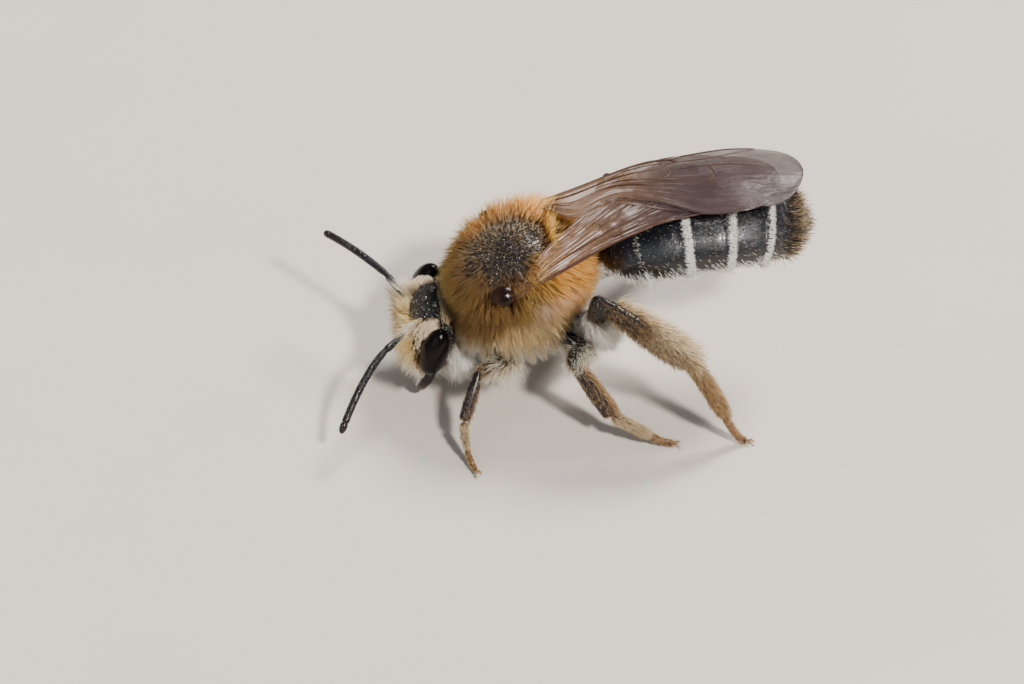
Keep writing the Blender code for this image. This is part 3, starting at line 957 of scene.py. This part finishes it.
def makeHead():
    def shade(spots):
        return layered(head, "shell", ("velvetSkin", velvetAt(headLocal(spots))))

    bm = bmesh.new()
    ball(bm, 112, 84, headSpot)
    skin = makePiece(bm, "headSkin", "headCuticle", ["head"], shade)
    face = coatLike(46000, 21, thick=0.0085, wander=0.12, lock=0.12, gather=0.40, uneven=0.45)
    beard = coatLike(46000, 22, thick=0.0080, wander=0.10, lock=0.16, gather=0.45, uneven=0.3)
    growCoat("coatFace", [skin], face, "pale_fur", headRule, False)
    growCoat("coatBeard", [skin], beard, "pale_fur", headRule, True)


def makeOcelli():
    bm = bmesh.new()
    for x, y in head["ocelli"]:
        height = head["up"] * math.sqrt(max(0.0, 1 - (x / head["halfWidth"]) ** 2 - (y / 0.5) ** 2))
        made = bmesh.ops.create_uvsphere(bm, u_segments=20, v_segments=14, radius=head["ocellusRadius"])
        bmesh.ops.translate(bm, verts=made["verts"], vec=headPlace @ Vector((x, y, height + 0.02)))
    makePiece(bm, "ocelli", "ocellus")


def makeEye(side):
    sign = sides[side]
    x, y, z = head["eye"]
    placed = headPlace @ Matrix.Translation((sign * x, y, z)) @ turned(-sign * head["eyeTilt"], "Y")
    placed = placed @ turned(-head["eyeLean"], "X") @ Matrix.Diagonal((*head["eyeHalf"], 1))
    bm = bmesh.new()
    ball(bm, 64, 56, lambda angle, way: placed @ Vector(globe(angle, way)))
    makePiece(bm, "compoundEye_" + side, "eye", ["eye_" + side])


def makeMandible(side):
    def shade(spots):
        return layered(head, "jawRoot", ("jawTip", smooth(0.62, 0.40, spots[:, 2])))

    bm = bmesh.new()
    path = [(sides[side] * x, y, z) for x, y, z in head["jaw"]]
    limb(bm, path, lambda way: (0.20 - 0.10 * way, 0.16 - 0.09 * way), 20, 28, (0, 1, 0), ends=0.12)
    makePiece(bm, "mandible_blade_" + side, "limbCuticle", ["mandible_" + side], shade)


makeHead()
makeOcelli()
for side in sides:
    makeEye(side)
    makeMandible(side)
print("head made")


# antennae
antenna = {
    "left": ((0.33, -2.72, 1.96), (1.25, -3.5, 2.05), (1.95, -4.15, 1.9), (2.95, -4.78, 0.92)),
    "right": ((-0.33, -2.72, 2.03), (-1.1, -3.25, 2.48), (-1.9, -3.95, 2.72), (-2.8, -4.68, 2.55)),
    "scapeRadius": 0.088,
    "flagellumRadius": 0.100,
    "joints": 11,
    "firstJoint": 0.045,
    "overlap": 0.006,
    "root": (0.004, 0.004, 0.005),
    "tip": (0.010, 0.007, 0.005),
}


def makeAntenna(side):
    def shade(spots):
        return layered(antenna, "root", ("tip", smooth(-3.6, -4.6, spots[:, 1])))

    root, elbow, middle, tip = antenna[side]
    bm = bmesh.new()
    wide = antenna["scapeRadius"]
    limb(bm, (root, elbow), lambda way: (wide * (0.8 + 0.35 * way),) * 2, 16, 22, ends=0.08)
    bulb = [Vector(root).lerp(Vector(elbow), t) for t in (-0.06, 0.06)]
    limb(bm, bulb, lambda way: (wide * 1.1,) * 2, 16, 10, ends=0.4)
    joints = antenna["joints"]
    cuts = [0.0]
    cuts += [antenna["firstJoint"] + (1 - antenna["firstJoint"]) * k / (joints - 1) for k in range(joints)]
    for k in range(joints):
        broad = antenna["flagellumRadius"] * (0.90 + 0.10 * min(1, k / 3) if k else 0.78)
        last = k == joints - 1

        def size(way):
            taper = 1 - 0.28 * smooth(0.4, 1, way) if last else 0.95 + 0.06 * way
            return (broad * taper,) * 2

        part = (cuts[k] - antenna["overlap"], cuts[k + 1] + antenna["overlap"])
        limb(bm, (elbow, middle, tip), size, 16, 14, part=part, ends=0.30 if last else 0.10)
    nodes = [f"antenna_{side}_scape", f"antenna_{side}_flagellum"]
    makePiece(bm, "feeler_" + side, "limbCuticle", nodes, shade)


for side in sides:
    makeAntenna(side)
print("antennae made")


# abdomen
abdomen = {
    "waist": (0, 1.95, 3.75),
    "length": 5.35,
    "halfWidth": 1.62,
    "halfHeight": 1.02,
    "rise": 0.585,
    "bend": -0.35,
    "plates": (0, 0.19, 0.41, 0.60, 0.775, 0.89, 0.955),
    "bandStrength": (0.10, 1.0, 1.0, 0.9, 0.0, 0.0),
    "inset": 0.06,
    "lip": 0.055,
    "crease": 0.0175,
    "ends": 0.07,
    "shortHair": 0.085,
    "bandHair": 0.13,
    "sideHair": 0.30,
    "tailHair": 0.42,
    "back": (0.002, 0.002, 0.003),
    "belly": (0.008, 0.005, 0.004),
    "band": (0.95, 0.90, 0.76),
    "thin": (0.16, 0.13, 0.10),
    "tail": (0.014, 0.009, 0.006),
    "tailTip": (0.50, 0.33, 0.15),
    "tailRoot": (0.008, 0.006, 0.004),
    "goldRoot": (0.016, 0.010, 0.006),
}
plateCount = len(abdomen["bandStrength"])


def abdomenAxis(t):
    rise = abdomen["rise"] * math.sin(math.pi * t * 0.96)
    return Vector(abdomen["waist"]) + Vector((abdomen["bend"] * t * t, abdomen["length"] * t, rise))


def plateSpot(number, angle, way):
    first, last = abdomen["plates"][number : number + 2]
    ends = abdomen["ends"]
    inner = min(1, max(0, (way - ends) / (1 - 2 * ends)))
    start = first - (0.03 if number else 0)
    t = start + (last + 0.006 - start) * inner
    ahead = (abdomenAxis(t + 0.02) - abdomenAxis(t - 0.02)).normalized()
    wideways = Vector((1, 0, 0))
    through = wideways.cross(ahead).normalized()
    size = max(0.2, max(0, 1 - abs(1 - 2 * min(t / 0.965, 1)) ** 2.7) ** (1 / 2.3))
    proud = -abdomen["inset"]
    if number < plateCount - 1:
        proud += abdomen["lip"] * smooth(0.15, 1, inner) - abdomen["crease"] * bell(inner, 0.80, 0.05)
    wide = size * abdomen["halfWidth"] * (1.02 - 0.12 * t) + proud
    high = size * abdomen["halfHeight"] + proud
    if math.sin(angle) < -0.30:
        wide -= 0.05
        high -= 0.07
    off = wideways * wide * math.cos(angle) + through * high * math.sin(angle)
    return abdomenAxis(t) + off * capped(way, ends)


def makePlate(number):
    def shade(spots):
        return layered(abdomen, "back", ("belly", smooth(4.4, 3.6, spots[:, 2]) * 0.6))

    bm = bmesh.new()
    ball(bm, 96, 40, lambda angle, way: plateSpot(number, angle, way), rowsOf(number, plateCount))
    stands = [f"abdomen_{number + 1}"]
    return makePiece(bm, f"tergite_{number + 1}", "abdomenPlate", stands, shade)


def plateMaps(maps):
    # which plate a root is on, how far along it, and how high round it (1 back, -1 belly)
    row = maps[:, 1] * plateCount
    number = np.clip(np.floor(row), 0, plateCount - 1)
    return number, row - number, np.sin(maps[:, 0] * 2 * math.pi)


def bandRule(spots, normals, maps, dense):
    number, way, high = plateMaps(maps)
    start = 0.80 + 0.03 * high
    band = smooth(start - 0.04, start + 0.03, way) * smooth(1.0, 0.97, way) * smooth(-0.55, -0.25, high)
    band = band * np.choose(number.astype(int), abdomen["bandStrength"])
    flank = smooth(0.35, -0.15, high)
    first = smooth(0.30, -0.10, high) * (number < 1)
    if dense:
        density = band
    else:
        density = (0.05 + 0.16 * flank) * smooth(0.97, 0.9, way) * smooth(0.05, 0.1, way) * (1 - band)
        density = np.clip(density + 0.35 * first, 0, 1)
    short = abdomen["shortHair"]
    length = short + flank * (abdomen["sideHair"] - short) * (0.4 + 0.6 * smooth(0.3, 0.9, way))
    length = np.where(band > 0.3, abdomen["bandHair"], length + 0.12 * first)
    lie = stacked(0.12 * np.sign(spots[:, 0]), 1, -0.25 - 0.6 * flank)
    stand = 0.30 + 0.10 * flank - 0.10 * (band > 0.3)
    pale = layered(abdomen, "thin", ("band", np.clip(band * 2 + flank, 0, 1)))
    return density, length, lie, stand, pale, pale * 0.8


def tailRule(spots, normals, maps):
    number, way, high = plateMaps(maps)
    fringe = np.where(number >= 5, 1.0, smooth(0.45, 0.85, way) * (number >= 4))
    fringe = np.maximum(fringe, smooth(0.72, 0.95, way) * (number >= 3) * smooth(-0.1, -0.4, high))
    density = np.clip(0.30 * fringe + 0.08 * (number >= 4), 0, 1) * smooth(0.03, 0.08, way)
    length = 0.12 + (abdomen["tailHair"] - 0.12) * fringe
    lie = stacked(0.35 * normals[:, 0], 1, 0.35 * normals[:, 2] - 0.05)
    some = np.sin(maps[:, 0] * 911 + maps[:, 1] * 577) > 0.35
    gold = (smooth(0.5, -0.3, high) * 0.8 + 0.2) * some
    tip = layered(abdomen, "tail", ("tailTip", gold))
    root = layered(abdomen, "tailRoot", ("goldRoot", gold))
    return density, length, lie, 0.50, tip, root


plates = [makePlate(number) for number in range(plateCount)]
fineCoat = coatLike(60000, 31, thick=0.0070, mottle=0.2, gather=0.1, wander=0.14)
bandCoat = coatLike(150000, 33, thick=0.0085, mottle=0.1, gather=0.1, wander=0.10)
tailCoat = coatLike(24000, 32, thick=0.0095, wander=0.08, gather=0.12, lock=0.10, bend=0.10, uneven=0.4)
growCoat("coatAbdomen", plates, fineCoat, "cuticle", bandRule, False)
growCoat("coatBands", plates[:4], bandCoat, "cuticle", bandRule, True)
growCoat("coatTail", plates[3:], tailCoat, "brown_fur", tailRule)
print("abdomen made")


# legs: the points run hip, end of the coxa, knee, ankle, heel, toe
segments = ("coxa", "trochanter", "femur", "tibia", "foot1", "foot2", "foot3", "foot4", "foot5")
leg = {
    # half widths, how far the tibia widens towards its end, and tries at hairs
    "front": {"femur": (0.19, 0.18), "tibia": (0.16, 0.15), "foot": (0.095, 0.085), "paddle": 0.12},
    "middle": {"femur": (0.27, 0.24), "tibia": (0.22, 0.18), "foot": (0.15, 0.11), "paddle": 0.12},
    "hind": {"femur": (0.27, 0.24), "tibia": (0.31, 0.19), "foot": (0.20, 0.12), "paddle": 0.30},
    "tries": {"front": 11000, "middle": 15000, "hind": 24000},
    "hip": 0.24,
    "out": (0.3, 1, 0),  # the legs' broad side
    "toeLength": 0.42,
    "sole": 0.105,
    "split": (0.0, 0.50, 0.63, 0.74, 0.84, 0.97),
    "points": {
        "front_left": (
            (0.6, -0.5, 1.7), (1.2, -0.42, 1.4), (2.0, -1.25, 1.75), (2.82, -1.7, 0.9),
            (3.2, -1.72, 0.5), (3.75, -1.5, 0),
        ),
        "middle_left": (
            (0.65, 0.8, 1.85), (1.3, 1.45, 1.75), (2.3, 1.12, 2.1), (2.95, 2.0, 0.84),
            (3.2, 2.9, 0.4), (3.3, 3.5, 0),
        ),
        "hind_left": (
            (0.6, 1.2, 2.3), (1.15, 1.85, 2.2), (2.2, 1.72, 4.1), (3.0, 3.9, 2.55),
            (3.3, 4.75, 1.35), (3.4, 5.35, 0),
        ),
        "front_right": (
            (-0.6, -0.45, 1.7), (-1.2, -0.4, 1.4), (-2.0, -1.3, 1.85), (-2.8, -1.75, 0.95),
            (-3.2, -1.7, 0.5), (-3.75, -1.35, 0),
        ),
        "middle_right": (
            (-0.65, 0.7, 1.8), (-1.3, 1.1, 1.7), (-2.4, 0.75, 2.3), (-3.05, 1.45, 0.9),
            (-3.3, 2.3, 0.4), (-3.5, 2.95, 0),
        ),
        "hind_right": (
            (-0.6, 1.2, 2.3), (-1.2, 1.85, 2.25), (-2.8, 2.5, 3.8), (-3.7, 3.7, 2.0),
            (-4.0, 4.4, 1.0), (-4.15, 4.95, 0),
        ),
    },
    # shell
    "dark": (0.004, 0.004, 0.005),
    "foot": (0.055, 0.028, 0.014),
    "toe": (0.13, 0.060, 0.026),
    "claw": (0.05, 0.02, 0.01),
    "spur": (0.16, 0.08, 0.03),
    # hair
    "plume": thorax["white"],
    "pale": (0.6048, 0.5616, 0.4608),
    "cream": (0.714, 0.624, 0.448),
    "scopa": (0.70, 0.50, 0.27),
    "scopaShade": (0.15, 0.085, 0.040),
    "gold": (0.42, 0.235, 0.095),
    "silver": (0.30, 0.19, 0.10),
    "rootShare": (0.34, 0.26, 0.18),
}


def makeLeg(which, side):
    style = leg[which]
    points = [Vector(p) for p in leg["points"][f"{which}_{side}"]]
    hip, hipEnd, knee, ankle, heel, toe = points
    sole = Vector((toe.x, toe.y, leg["sole"]))
    back = Vector((heel.x - toe.x, heel.y - toe.y, 0)).normalized() * leg["toeLength"]
    foot = [ankle, heel, sole + back, sole]
    bm = bmesh.new()
    counts = []
    colours = []

    def add(number, path, size, along, colour, part=(0, 1), ends=0.1):
        rows = rowsOf(number, len(segments))
        made = limb(bm, path, size, 20, along, leg["out"], rows=rows, part=part, ends=ends)
        counts.append(len(made))
        colours.append(leg[colour])

    def femur(w):
        swell = 1 - 0.256 * (2 * w - 0.75) ** 2
        return style["femur"][0] * swell, style["femur"][1] * swell

    def tibia(w):
        blade = 1 - style["paddle"] * (2 * w - 1.15) ** 2 - 0.25 * (1 - w) ** 3
        return style["tibia"][0] * blade, style["tibia"][1] * blade

    near, start, far = (hipEnd.lerp(knee, t) for t in (-0.04, 0.10, 0.15))
    add(0, (hip, hipEnd), lambda w: (leg["hip"] * (1.1 - 0.25 * w),) * 2, 14, "dark")
    add(1, (near, far), lambda w: [half * 0.85 for half in style["femur"]], 12, "dark", ends=0.3)
    add(2, (start, knee), femur, 26, "dark")
    add(3, (knee.lerp(ankle, -0.035), ankle), tibia, 30, "dark", ends=0.07)
    split = leg["split"]
    wide, high = style["foot"]

    def heelSize(w):
        flare = 0.88 + 0.2 * math.sin(math.pi * w * 0.7) - 0.34 * w * w
        return wide * flare, high * flare

    for k in range(5):
        part = (split[k] - 0.008, split[k + 1] + 0.004)
        if k == 0:
            add(4, foot, heelSize, 18, "foot", part, 0.12)
        else:
            thick = high * (0.90 - 0.05 * k)
            add(4 + k, foot, lambda w: (thick * (0.80 + 0.20 * w),) * 2, 10, "toe", part, 0.12)
    tip = bezier(foot, 0.97)
    ahead = (bezier(foot, 1) - bezier(foot, 0.9)).normalized()
    beside = ahead.cross(Vector((0, 0, 1))).normalized()
    for sign in (-1, 1):
        hook = [tip, tip + ahead * 0.14 + beside * sign * 0.05 + Vector((0, 0, 0.05))]
        hook += [tip + ahead * 0.20 + beside * sign * 0.10 + Vector((0, 0, -0.045))]
        add(8, hook, lambda w: (0.024 * (1.05 - w),) * 2, 10, "claw", ends=0.2)
    for sign in (-1, 1) if which == "hind" else (1,):
        spur = [ankle, ankle.lerp(heel, 0.22) + Vector(leg["out"]).normalized() * 0.10 * sign]
        add(4, spur, lambda w: (0.022 * (1.1 - w),) * 2, 8, "spur", ends=0.2)
    shades = np.repeat(np.array(colours), counts, axis=0)
    nodes = [f"{which}_leg_{side}_{part}" for part in ("coxa", "femur", "tibia", "tarsus")]
    skin = makePiece(bm, f"limb_{which}_{side}", "limbCuticle", nodes, lambda spots: shades)
    axes = [hipEnd - hip, far - near, knee - start, ankle - knee]
    axes += [bezier(foot, split[k + 1]) - bezier(foot, split[k]) for k in range(5)]
    return skin, unit(np.array([tuple(axis) for axis in axes]))


def legRule(spots, normals, maps, which, side, axes):
    sign = sides[side]
    row = np.clip(maps[:, 1], 0, 0.9999) * len(segments)
    part = np.floor(row).astype(int)
    way = row - part
    x, y, z = normals.T
    rear = smooth(-0.1, 0.7, y)
    below = smooth(0.1, -0.6, z)
    outer = smooth(0.0, 0.7, x * sign)
    under = np.maximum(below, rear)
    hip, trochanter, femur, tibia, heel = (part == k for k in range(5))
    coat = [0.30, 0.13, np.array(leg["silver"]), 0.30]

    def cover(mask, *values):
        # density, length, tip and stand, or the first of them, where the mask is
        for number, value in enumerate(values):
            value = leg[value] if isinstance(value, str) else value
            coat[number] = np.where(mask[:, None] if number == 2 else mask, value, coat[number])

    lie = axes[part] + np.array((0, 0.15, -0.1))
    if which == "hind":
        plume = trochanter | hip | (femur & (way < 0.45))
        cover(plume, 0.55 + 0.45 * below, 0.30 + 0.34 * np.maximum(below, rear * 0.6), "plume")
        lie[plume] += np.array((0.25 * sign, 0.35, -0.9)) * 1.6
        cover(femur & (way > 0.5), 0.02 + 0.05 * below)
        bald = np.maximum(outer, smooth(0.0, 0.6, z)) * smooth(0.70, 0.30, way) * smooth(0.7, 0.2, y)
        long = np.maximum(rear, smooth(0.2, 0.9, z) * smooth(0.4, 0.8, way))
        length = 0.18 + 0.34 * long + 0.10 * below - 0.08 * bald
        brush = layered(leg, "scopaShade", ("scopa", np.clip(long * 1.2 + 0.25 - 0.6 * bald, 0, 1)))
        cover(tibia & (way >= 0.16), 1 - 0.78 * bald, length, brush, 0.48)
        cover(tibia & (way < 0.16), 0.03)
        cover(heel, 0.62, 0.17 + 0.06 * rear, "gold", 0.40)
    elif which == "middle":
        thin = 1 - 0.5 * outer
        cover(hip | trochanter | femur, 0.06 + 0.55 * under * thin, 0.18 + 0.26 * under, "pale")
        cover(tibia, 0.10 + 0.7 * rear * rear, 0.12 + 0.10 * rear, "gold")
        cover(heel, 0.9, 0.15, "scopa")
    else:
        cover(hip | trochanter | (femur & (way < 0.6)), 0.03 + 0.26 * under, 0.14 + 0.44 * under, "cream")
        cover(tibia, 0.04 + 0.22 * rear * rear, 0.09 + 0.07 * rear)
        cover(heel, 0.75, 0.12, "scopa")
    cover(part > 4, 0.55, 0.11, "gold")
    density, length, tip, stand = coat
    return density * smooth(0.0, 0.05, way), length, lie, stand, tip, tip * np.array(leg["rootShare"])


def makeLegs():
    seed = 40
    for which in ("front", "middle", "hind"):
        for side in sides:
            skin, axes = makeLeg(which, side)
            coat = coatLike(leg["tries"][which], seed, thick=0.0075, lock=0.09, gather=0.25, wander=0.15)
            coat |= {"mottle": 0.28, "uneven": 0.40}
            growCoat(f"coatLeg_{which}_{side}", [skin], coat, "brown_fur", legRule, which, side, axes)
            seed += 1


makeLegs()
print("legs made")


# wing shields, each with the small plate beside it
tegula = {
    "place": (1.55, -0.57, 3.85),
    "half": (0.24, 0.31, 0.13),
    "tilt": 42,
    "platePlace": (1.22, -0.14, 4.17),
    "plateHalf": (0.12, 0.10, 0.07),
    "middle": (0.005, 0.002, 0.002),
    "rim": (0.020, 0.007, 0.003),
    "plate": (0.06, 0.035, 0.022),
}


def makeTegula(side):
    sign = sides[side]
    x, y, z = tegula["place"]
    placed = Matrix.Translation((sign * x, y, z)) @ turned(sign * tegula["tilt"], "Y")
    wide, long, high = tegula["half"]

    def shield(angle, way):
        x, y, z = globe(angle, way)
        rim, flat = (0.82, 0.45) if z < 0 else (1, 1)
        return placed @ Vector((x * wide * rim, y * long * rim, z * high * flat))

    def plate(angle, way):
        x, y, z = (half * part for half, part in zip(tegula["plateHalf"], globe(angle, way)))
        off = Vector((sign * x, y + 0.5 * x, z - 0.5 * x))
        placeX, placeY, placeZ = tegula["platePlace"]
        return Vector((sign * placeX, placeY, placeZ)) + off

    def shade(spots):
        rim = smooth(0.0, 1.0, abs(spots[:, 1] + 0.55) / 0.3)
        onPlate = (np.abs(spots[:, 0]) < 1.33) & (spots[:, 2] > 4.1)
        return layered(tegula, "middle", ("rim", rim), ("plate", onPlate))

    bm = bmesh.new()
    ball(bm, 40, 28, shield)
    ball(bm, 20, 14, plate)
    makePiece(bm, "wingShield_" + side, "wingShield", ["tegula_" + side], shade)


for side in sides:
    makeTegula(side)
print("wing shields made")


# wings: a vein's points say how far out along the wing and how far back across it
wing = {
    "length": 7.1,
    "root": 0.14,
    "lead": 0.36,
    "trail": 2.05,
    "tipStart": 0.85,
    "lobe": {"left": 0.15, "right": 0.85},
    "hinges": {"left": (1.5, -0.3), "right": (-1.5, 0.08)},
    "turns": {"left": 12, "right": 4.9},
    # how strong the painted glint streaks are on each wing
    "sparkle": {"left": 1.0, "right": 0.45},
    "sheet": 0.012,
    "foreLift": 0.02,
    "hindLift": -0.055,
    "amber": (0.24, 0.13, 0.066),
    "smoke": (0.052, 0.034, 0.033),
    "rim": (0.040, 0.027, 0.025),
    "veinRoot": (0.050, 0.016, 0.008),
    "vein": (0.045, 0.018, 0.010),
    "stigma": (0.052, ((0.485, 0.030), (0.515, 0.034), (0.545, 0.030), (0.575, 0.018))),
    "foreVeins": (
        (0.046, ((0.0, 0.10), (0.12, 0.02), (0.28, 0.012), (0.42, 0.012), (0.50, 0.018))),
        (0.022, ((0.56, 0.012), (0.66, 0.010), (0.76, 0.010), (0.84, 0.012))),
        (0.026, ((0.0, 0.45), (0.06, 0.33), (0.16, 0.29), (0.28, 0.29), (0.315, 0.30))),
        (0.018, ((0.02, 0.62), (0.14, 0.60), (0.28, 0.61), (0.42, 0.66), (0.52, 0.74))),
        (0.020, ((0.405, 0.02), (0.375, 0.10), (0.33, 0.20), (0.29, 0.29))),
        (0.016, ((0.315, 0.30), (0.335, 0.42), (0.335, 0.52), (0.325, 0.61))),
        (0.018, (
            (0.53, 0.05), (0.55, 0.12), (0.575, 0.165), (0.64, 0.185), (0.72, 0.165),
            (0.79, 0.10), (0.84, 0.014),
        )),
        (0.017, ((0.365, 0.125), (0.43, 0.125), (0.49, 0.14), (0.51, 0.17))),
        (0.016, ((0.575, 0.165), (0.54, 0.17), (0.51, 0.17), (0.505, 0.23), (0.50, 0.31))),
        (0.018, (
            (0.30, 0.27), (0.38, 0.29), (0.46, 0.31), (0.55, 0.325), (0.64, 0.335), (0.72, 0.345),
            (0.80, 0.38), (0.88, 0.44),
        )),
        (0.015, ((0.605, 0.18), (0.60, 0.25), (0.595, 0.33))),
        (0.015, ((0.70, 0.175), (0.725, 0.23), (0.725, 0.29), (0.705, 0.345))),
        (0.016, ((0.535, 0.32), (0.535, 0.41), (0.525, 0.50), (0.50, 0.575))),
        (0.015, ((0.665, 0.337), (0.685, 0.43), (0.685, 0.51), (0.665, 0.57))),
        (0.017, (
            (0.333, 0.46), (0.40, 0.51), (0.46, 0.55), (0.53, 0.585), (0.62, 0.575),
            (0.70, 0.565), (0.77, 0.60),
        )),
    ),
    "hindVeins": (
        (0.022, ((0.0, 0.15), (0.15, 0.05), (0.35, 0.02), (0.55, 0.03), (0.66, 0.03))),
        (0.014, ((0.0, 0.40), (0.18, 0.34), (0.36, 0.33), (0.44, 0.34), (0.62, 0.42), (0.80, 0.50))),
        (0.012, ((0.60, 0.04), (0.56, 0.18), (0.53, 0.37))),
        (0.012, ((0.36, 0.33), (0.36, 0.48), (0.33, 0.60))),
        (0.012, ((0.02, 0.70), (0.18, 0.62), (0.33, 0.60), (0.50, 0.68))),
    ),
}


def wingHeight(side, x, y):
    ridge = 5.71 - 0.063 * (y - 4.9) ** 2 * (1 if y < 4.9 else 0.6) - 0.16 * x * x
    ridge += 0.17 * smooth(1.4, -0.3, y)
    if side == "left":
        return ridge - 0.05 - 0.12 * smooth(4.2, 5.4, y)
    dip = 0.17 * smooth(3.4, 1.6, y) * smooth(0.4, 1.6, abs(x))
    return ridge + 0.06 + 0.11 * smooth(4.0, 5.6, y) - dip


def wingTurn(side):
    # the hinge, and the cosine and sine of the wing's turn about it
    turn = math.radians(sides[side] * wing["turns"][side])
    return (*wing["hinges"][side], math.cos(turn), math.sin(turn))


def wingSpot(side, s, behind, lift=0.0):
    hingeX, hingeY, cos, sin = wingTurn(side)
    x = -sides[side] * behind
    y = s * wing["length"]
    x, y = hingeX + x * cos - y * sin, hingeY + x * sin + y * cos
    return Vector((x, y, wingHeight(side, x, y) + lift))


def edges(side, s):
    # the front and rear edges, measured backwards from the wing's own line; the tip is half an oval
    near = min(s, wing["tipStart"])
    front = -wing["root"] - wing["lead"] * petal(near, 3.2, 0.60)
    lobe = wing["lobe"][side] * bell(near, 0.19, 0.10) * smooth(0.0, 0.08, near)
    rear = wing["root"] + wing["trail"] * petal(near, 1.40, 0.56) + lobe
    if s > near:
        middle = front + (rear - front) * 0.47
        left = math.sqrt(max(0.004, 1 - ((s - near) / (1 - near)) ** 2))
        front = middle + (front - middle) * left
        rear = middle + (rear - middle) * left
    return front, rear


def foreAt(side, s, q):
    front, rear = edges(side, s)
    notch = 0.16 * smooth(0.10, 0.30, s) * smooth(0.66, 0.50, s)
    return s, front + (rear - notch - front) * q


def hindAt(side, s, q):
    # the hind wing's own length runs from the hinge to under the middle of the fore wing
    span = 0.03 + 0.71 * s
    front, rear = edges(side, span)
    front = front + (rear - front) * (0.42 - 0.05 * s)
    middle = front + (rear - front) * 0.5
    half = (rear - front) * 0.5 * max(0.06, petal(max(0, min(1, s)), 0.62, 0.42))
    return span, middle + half * (2 * q - 1)


def makeMembrane(kind, side, spread, lift):
    hingeX, hingeY, cos, sin = wingTurn(side)

    def outward(spots):
        return ((spots[:, 1] - hingeY) * cos - (spots[:, 0] - hingeX) * sin) / wing["length"]

    def shade(spots):
        out = outward(spots)
        return layered(wing, "amber", ("smoke", smooth(0.15, 0.6, out)), ("rim", smooth(0.80, 1.0, out)))

    bm = bmesh.new()
    wingMap = bm.verts.layers.float_vector.new("wingMap")
    bmesh.ops.create_grid(bm, x_segments=56, y_segments=96, size=0.5)
    for vert in bm.verts:
        q = vert.co.x + 0.5
        s = math.sin((vert.co.y + 0.5) * math.pi / 2)
        vert[wingMap] = (q, s, 0)
        pleats = 0.030 * math.sin(q * 34 + s * 3) * smooth(0.0, 0.08, s) * smooth(0.62, 0.30, s)
        waves = 0.016 * math.sin(q * 15 + s * 6) * smooth(0.3, 0.6, s)
        waves += 0.012 * math.sin(q * 7 - s * 23) * smooth(0.5, 0.9, s)
        vert.co = wingSpot(side, *spread(side, s, q), lift + pleats + waves)
    bmesh.ops.recalc_face_normals(bm, faces=bm.faces)
    bmesh.ops.solidify(bm, geom=bm.faces[:], thickness=wing["sheet"])
    name = f"{kind}Membrane_{side}"
    mesh = makePiece(bm, name, "wing", [f"{kind}wing_{side}"], shade).data
    out = outward(spotsOf(mesh))
    # sparkle: where the painted glint streaks lie, mostly on the inner part of the wing
    sparkle = smooth(0.02, 0.10, out) * smooth(0.66, 0.25, out) + 0.04 * smooth(0.4, 0.7, out)
    clear = 0.66 - 0.08 * smooth(0.15, 0.5, out) - 0.20 * smooth(0.5, 0.95, out)
    for key, values in (("sparkle", sparkle * wing["sparkle"][side]), ("clearness", clear)):
        mesh.attributes.new(key, "FLOAT", "POINT").data.foreach_set("value", values.astype(np.float32))


def curveThrough(points, t):
    # a smooth line through all the points
    last = len(points) - 1
    k = min(int(t * last), last - 1)
    u = t * last - k
    a, b, c, d = (np.array(points[max(0, min(last, k + j))]) for j in (-1, 0, 1, 2))
    bent = 2 * a - 5 * b + 4 * c - d
    return 0.5 * (2 * b + (c - a) * u + bent * u * u + (3 * b - a - 3 * c + d) * u**3)


def addVein(bm, side, spread, lift, radius, points, ends=0.12):
    def middle(t):
        s, q = curveThrough(points, t)
        return wingSpot(side, *spread(side, max(0.0, min(1.0, s)), q), lift)

    def size(way):
        return (radius * (1.08 - 0.25 * way),) * 2

    along = max(8, 5 * len(points))
    tube(bm, middle, lambda ahead: ahead.cross(Vector((0, 0, 1))), size, 6, along, ends=ends)


def makeWing(side):
    def shade(spots):
        return layered(wing, "veinRoot", ("vein", smooth(1.0, 3.5, spots[:, 1])))

    bm = bmesh.new()
    for kind, spread in (("fore", foreAt), ("hind", hindAt)):
        lift = wing[kind + "Lift"]
        makeMembrane(kind, side, spread, lift)
        for radius, points in wing[kind + "Veins"]:
            addVein(bm, side, spread, lift - wing["sheet"] / 2, radius, points)
        if kind == "fore":
            addVein(bm, side, spread, lift - wing["sheet"] / 2, *wing["stigma"], 0.45)
    makePiece(bm, "wingVeins_" + side, "vein", (), shade)


for side in sides:
    makeWing(side)
print("wings made")

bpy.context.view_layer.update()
count = sum(len(piece.data.polygons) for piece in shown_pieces() if piece.type == "MESH")
print("faces in all:", count)
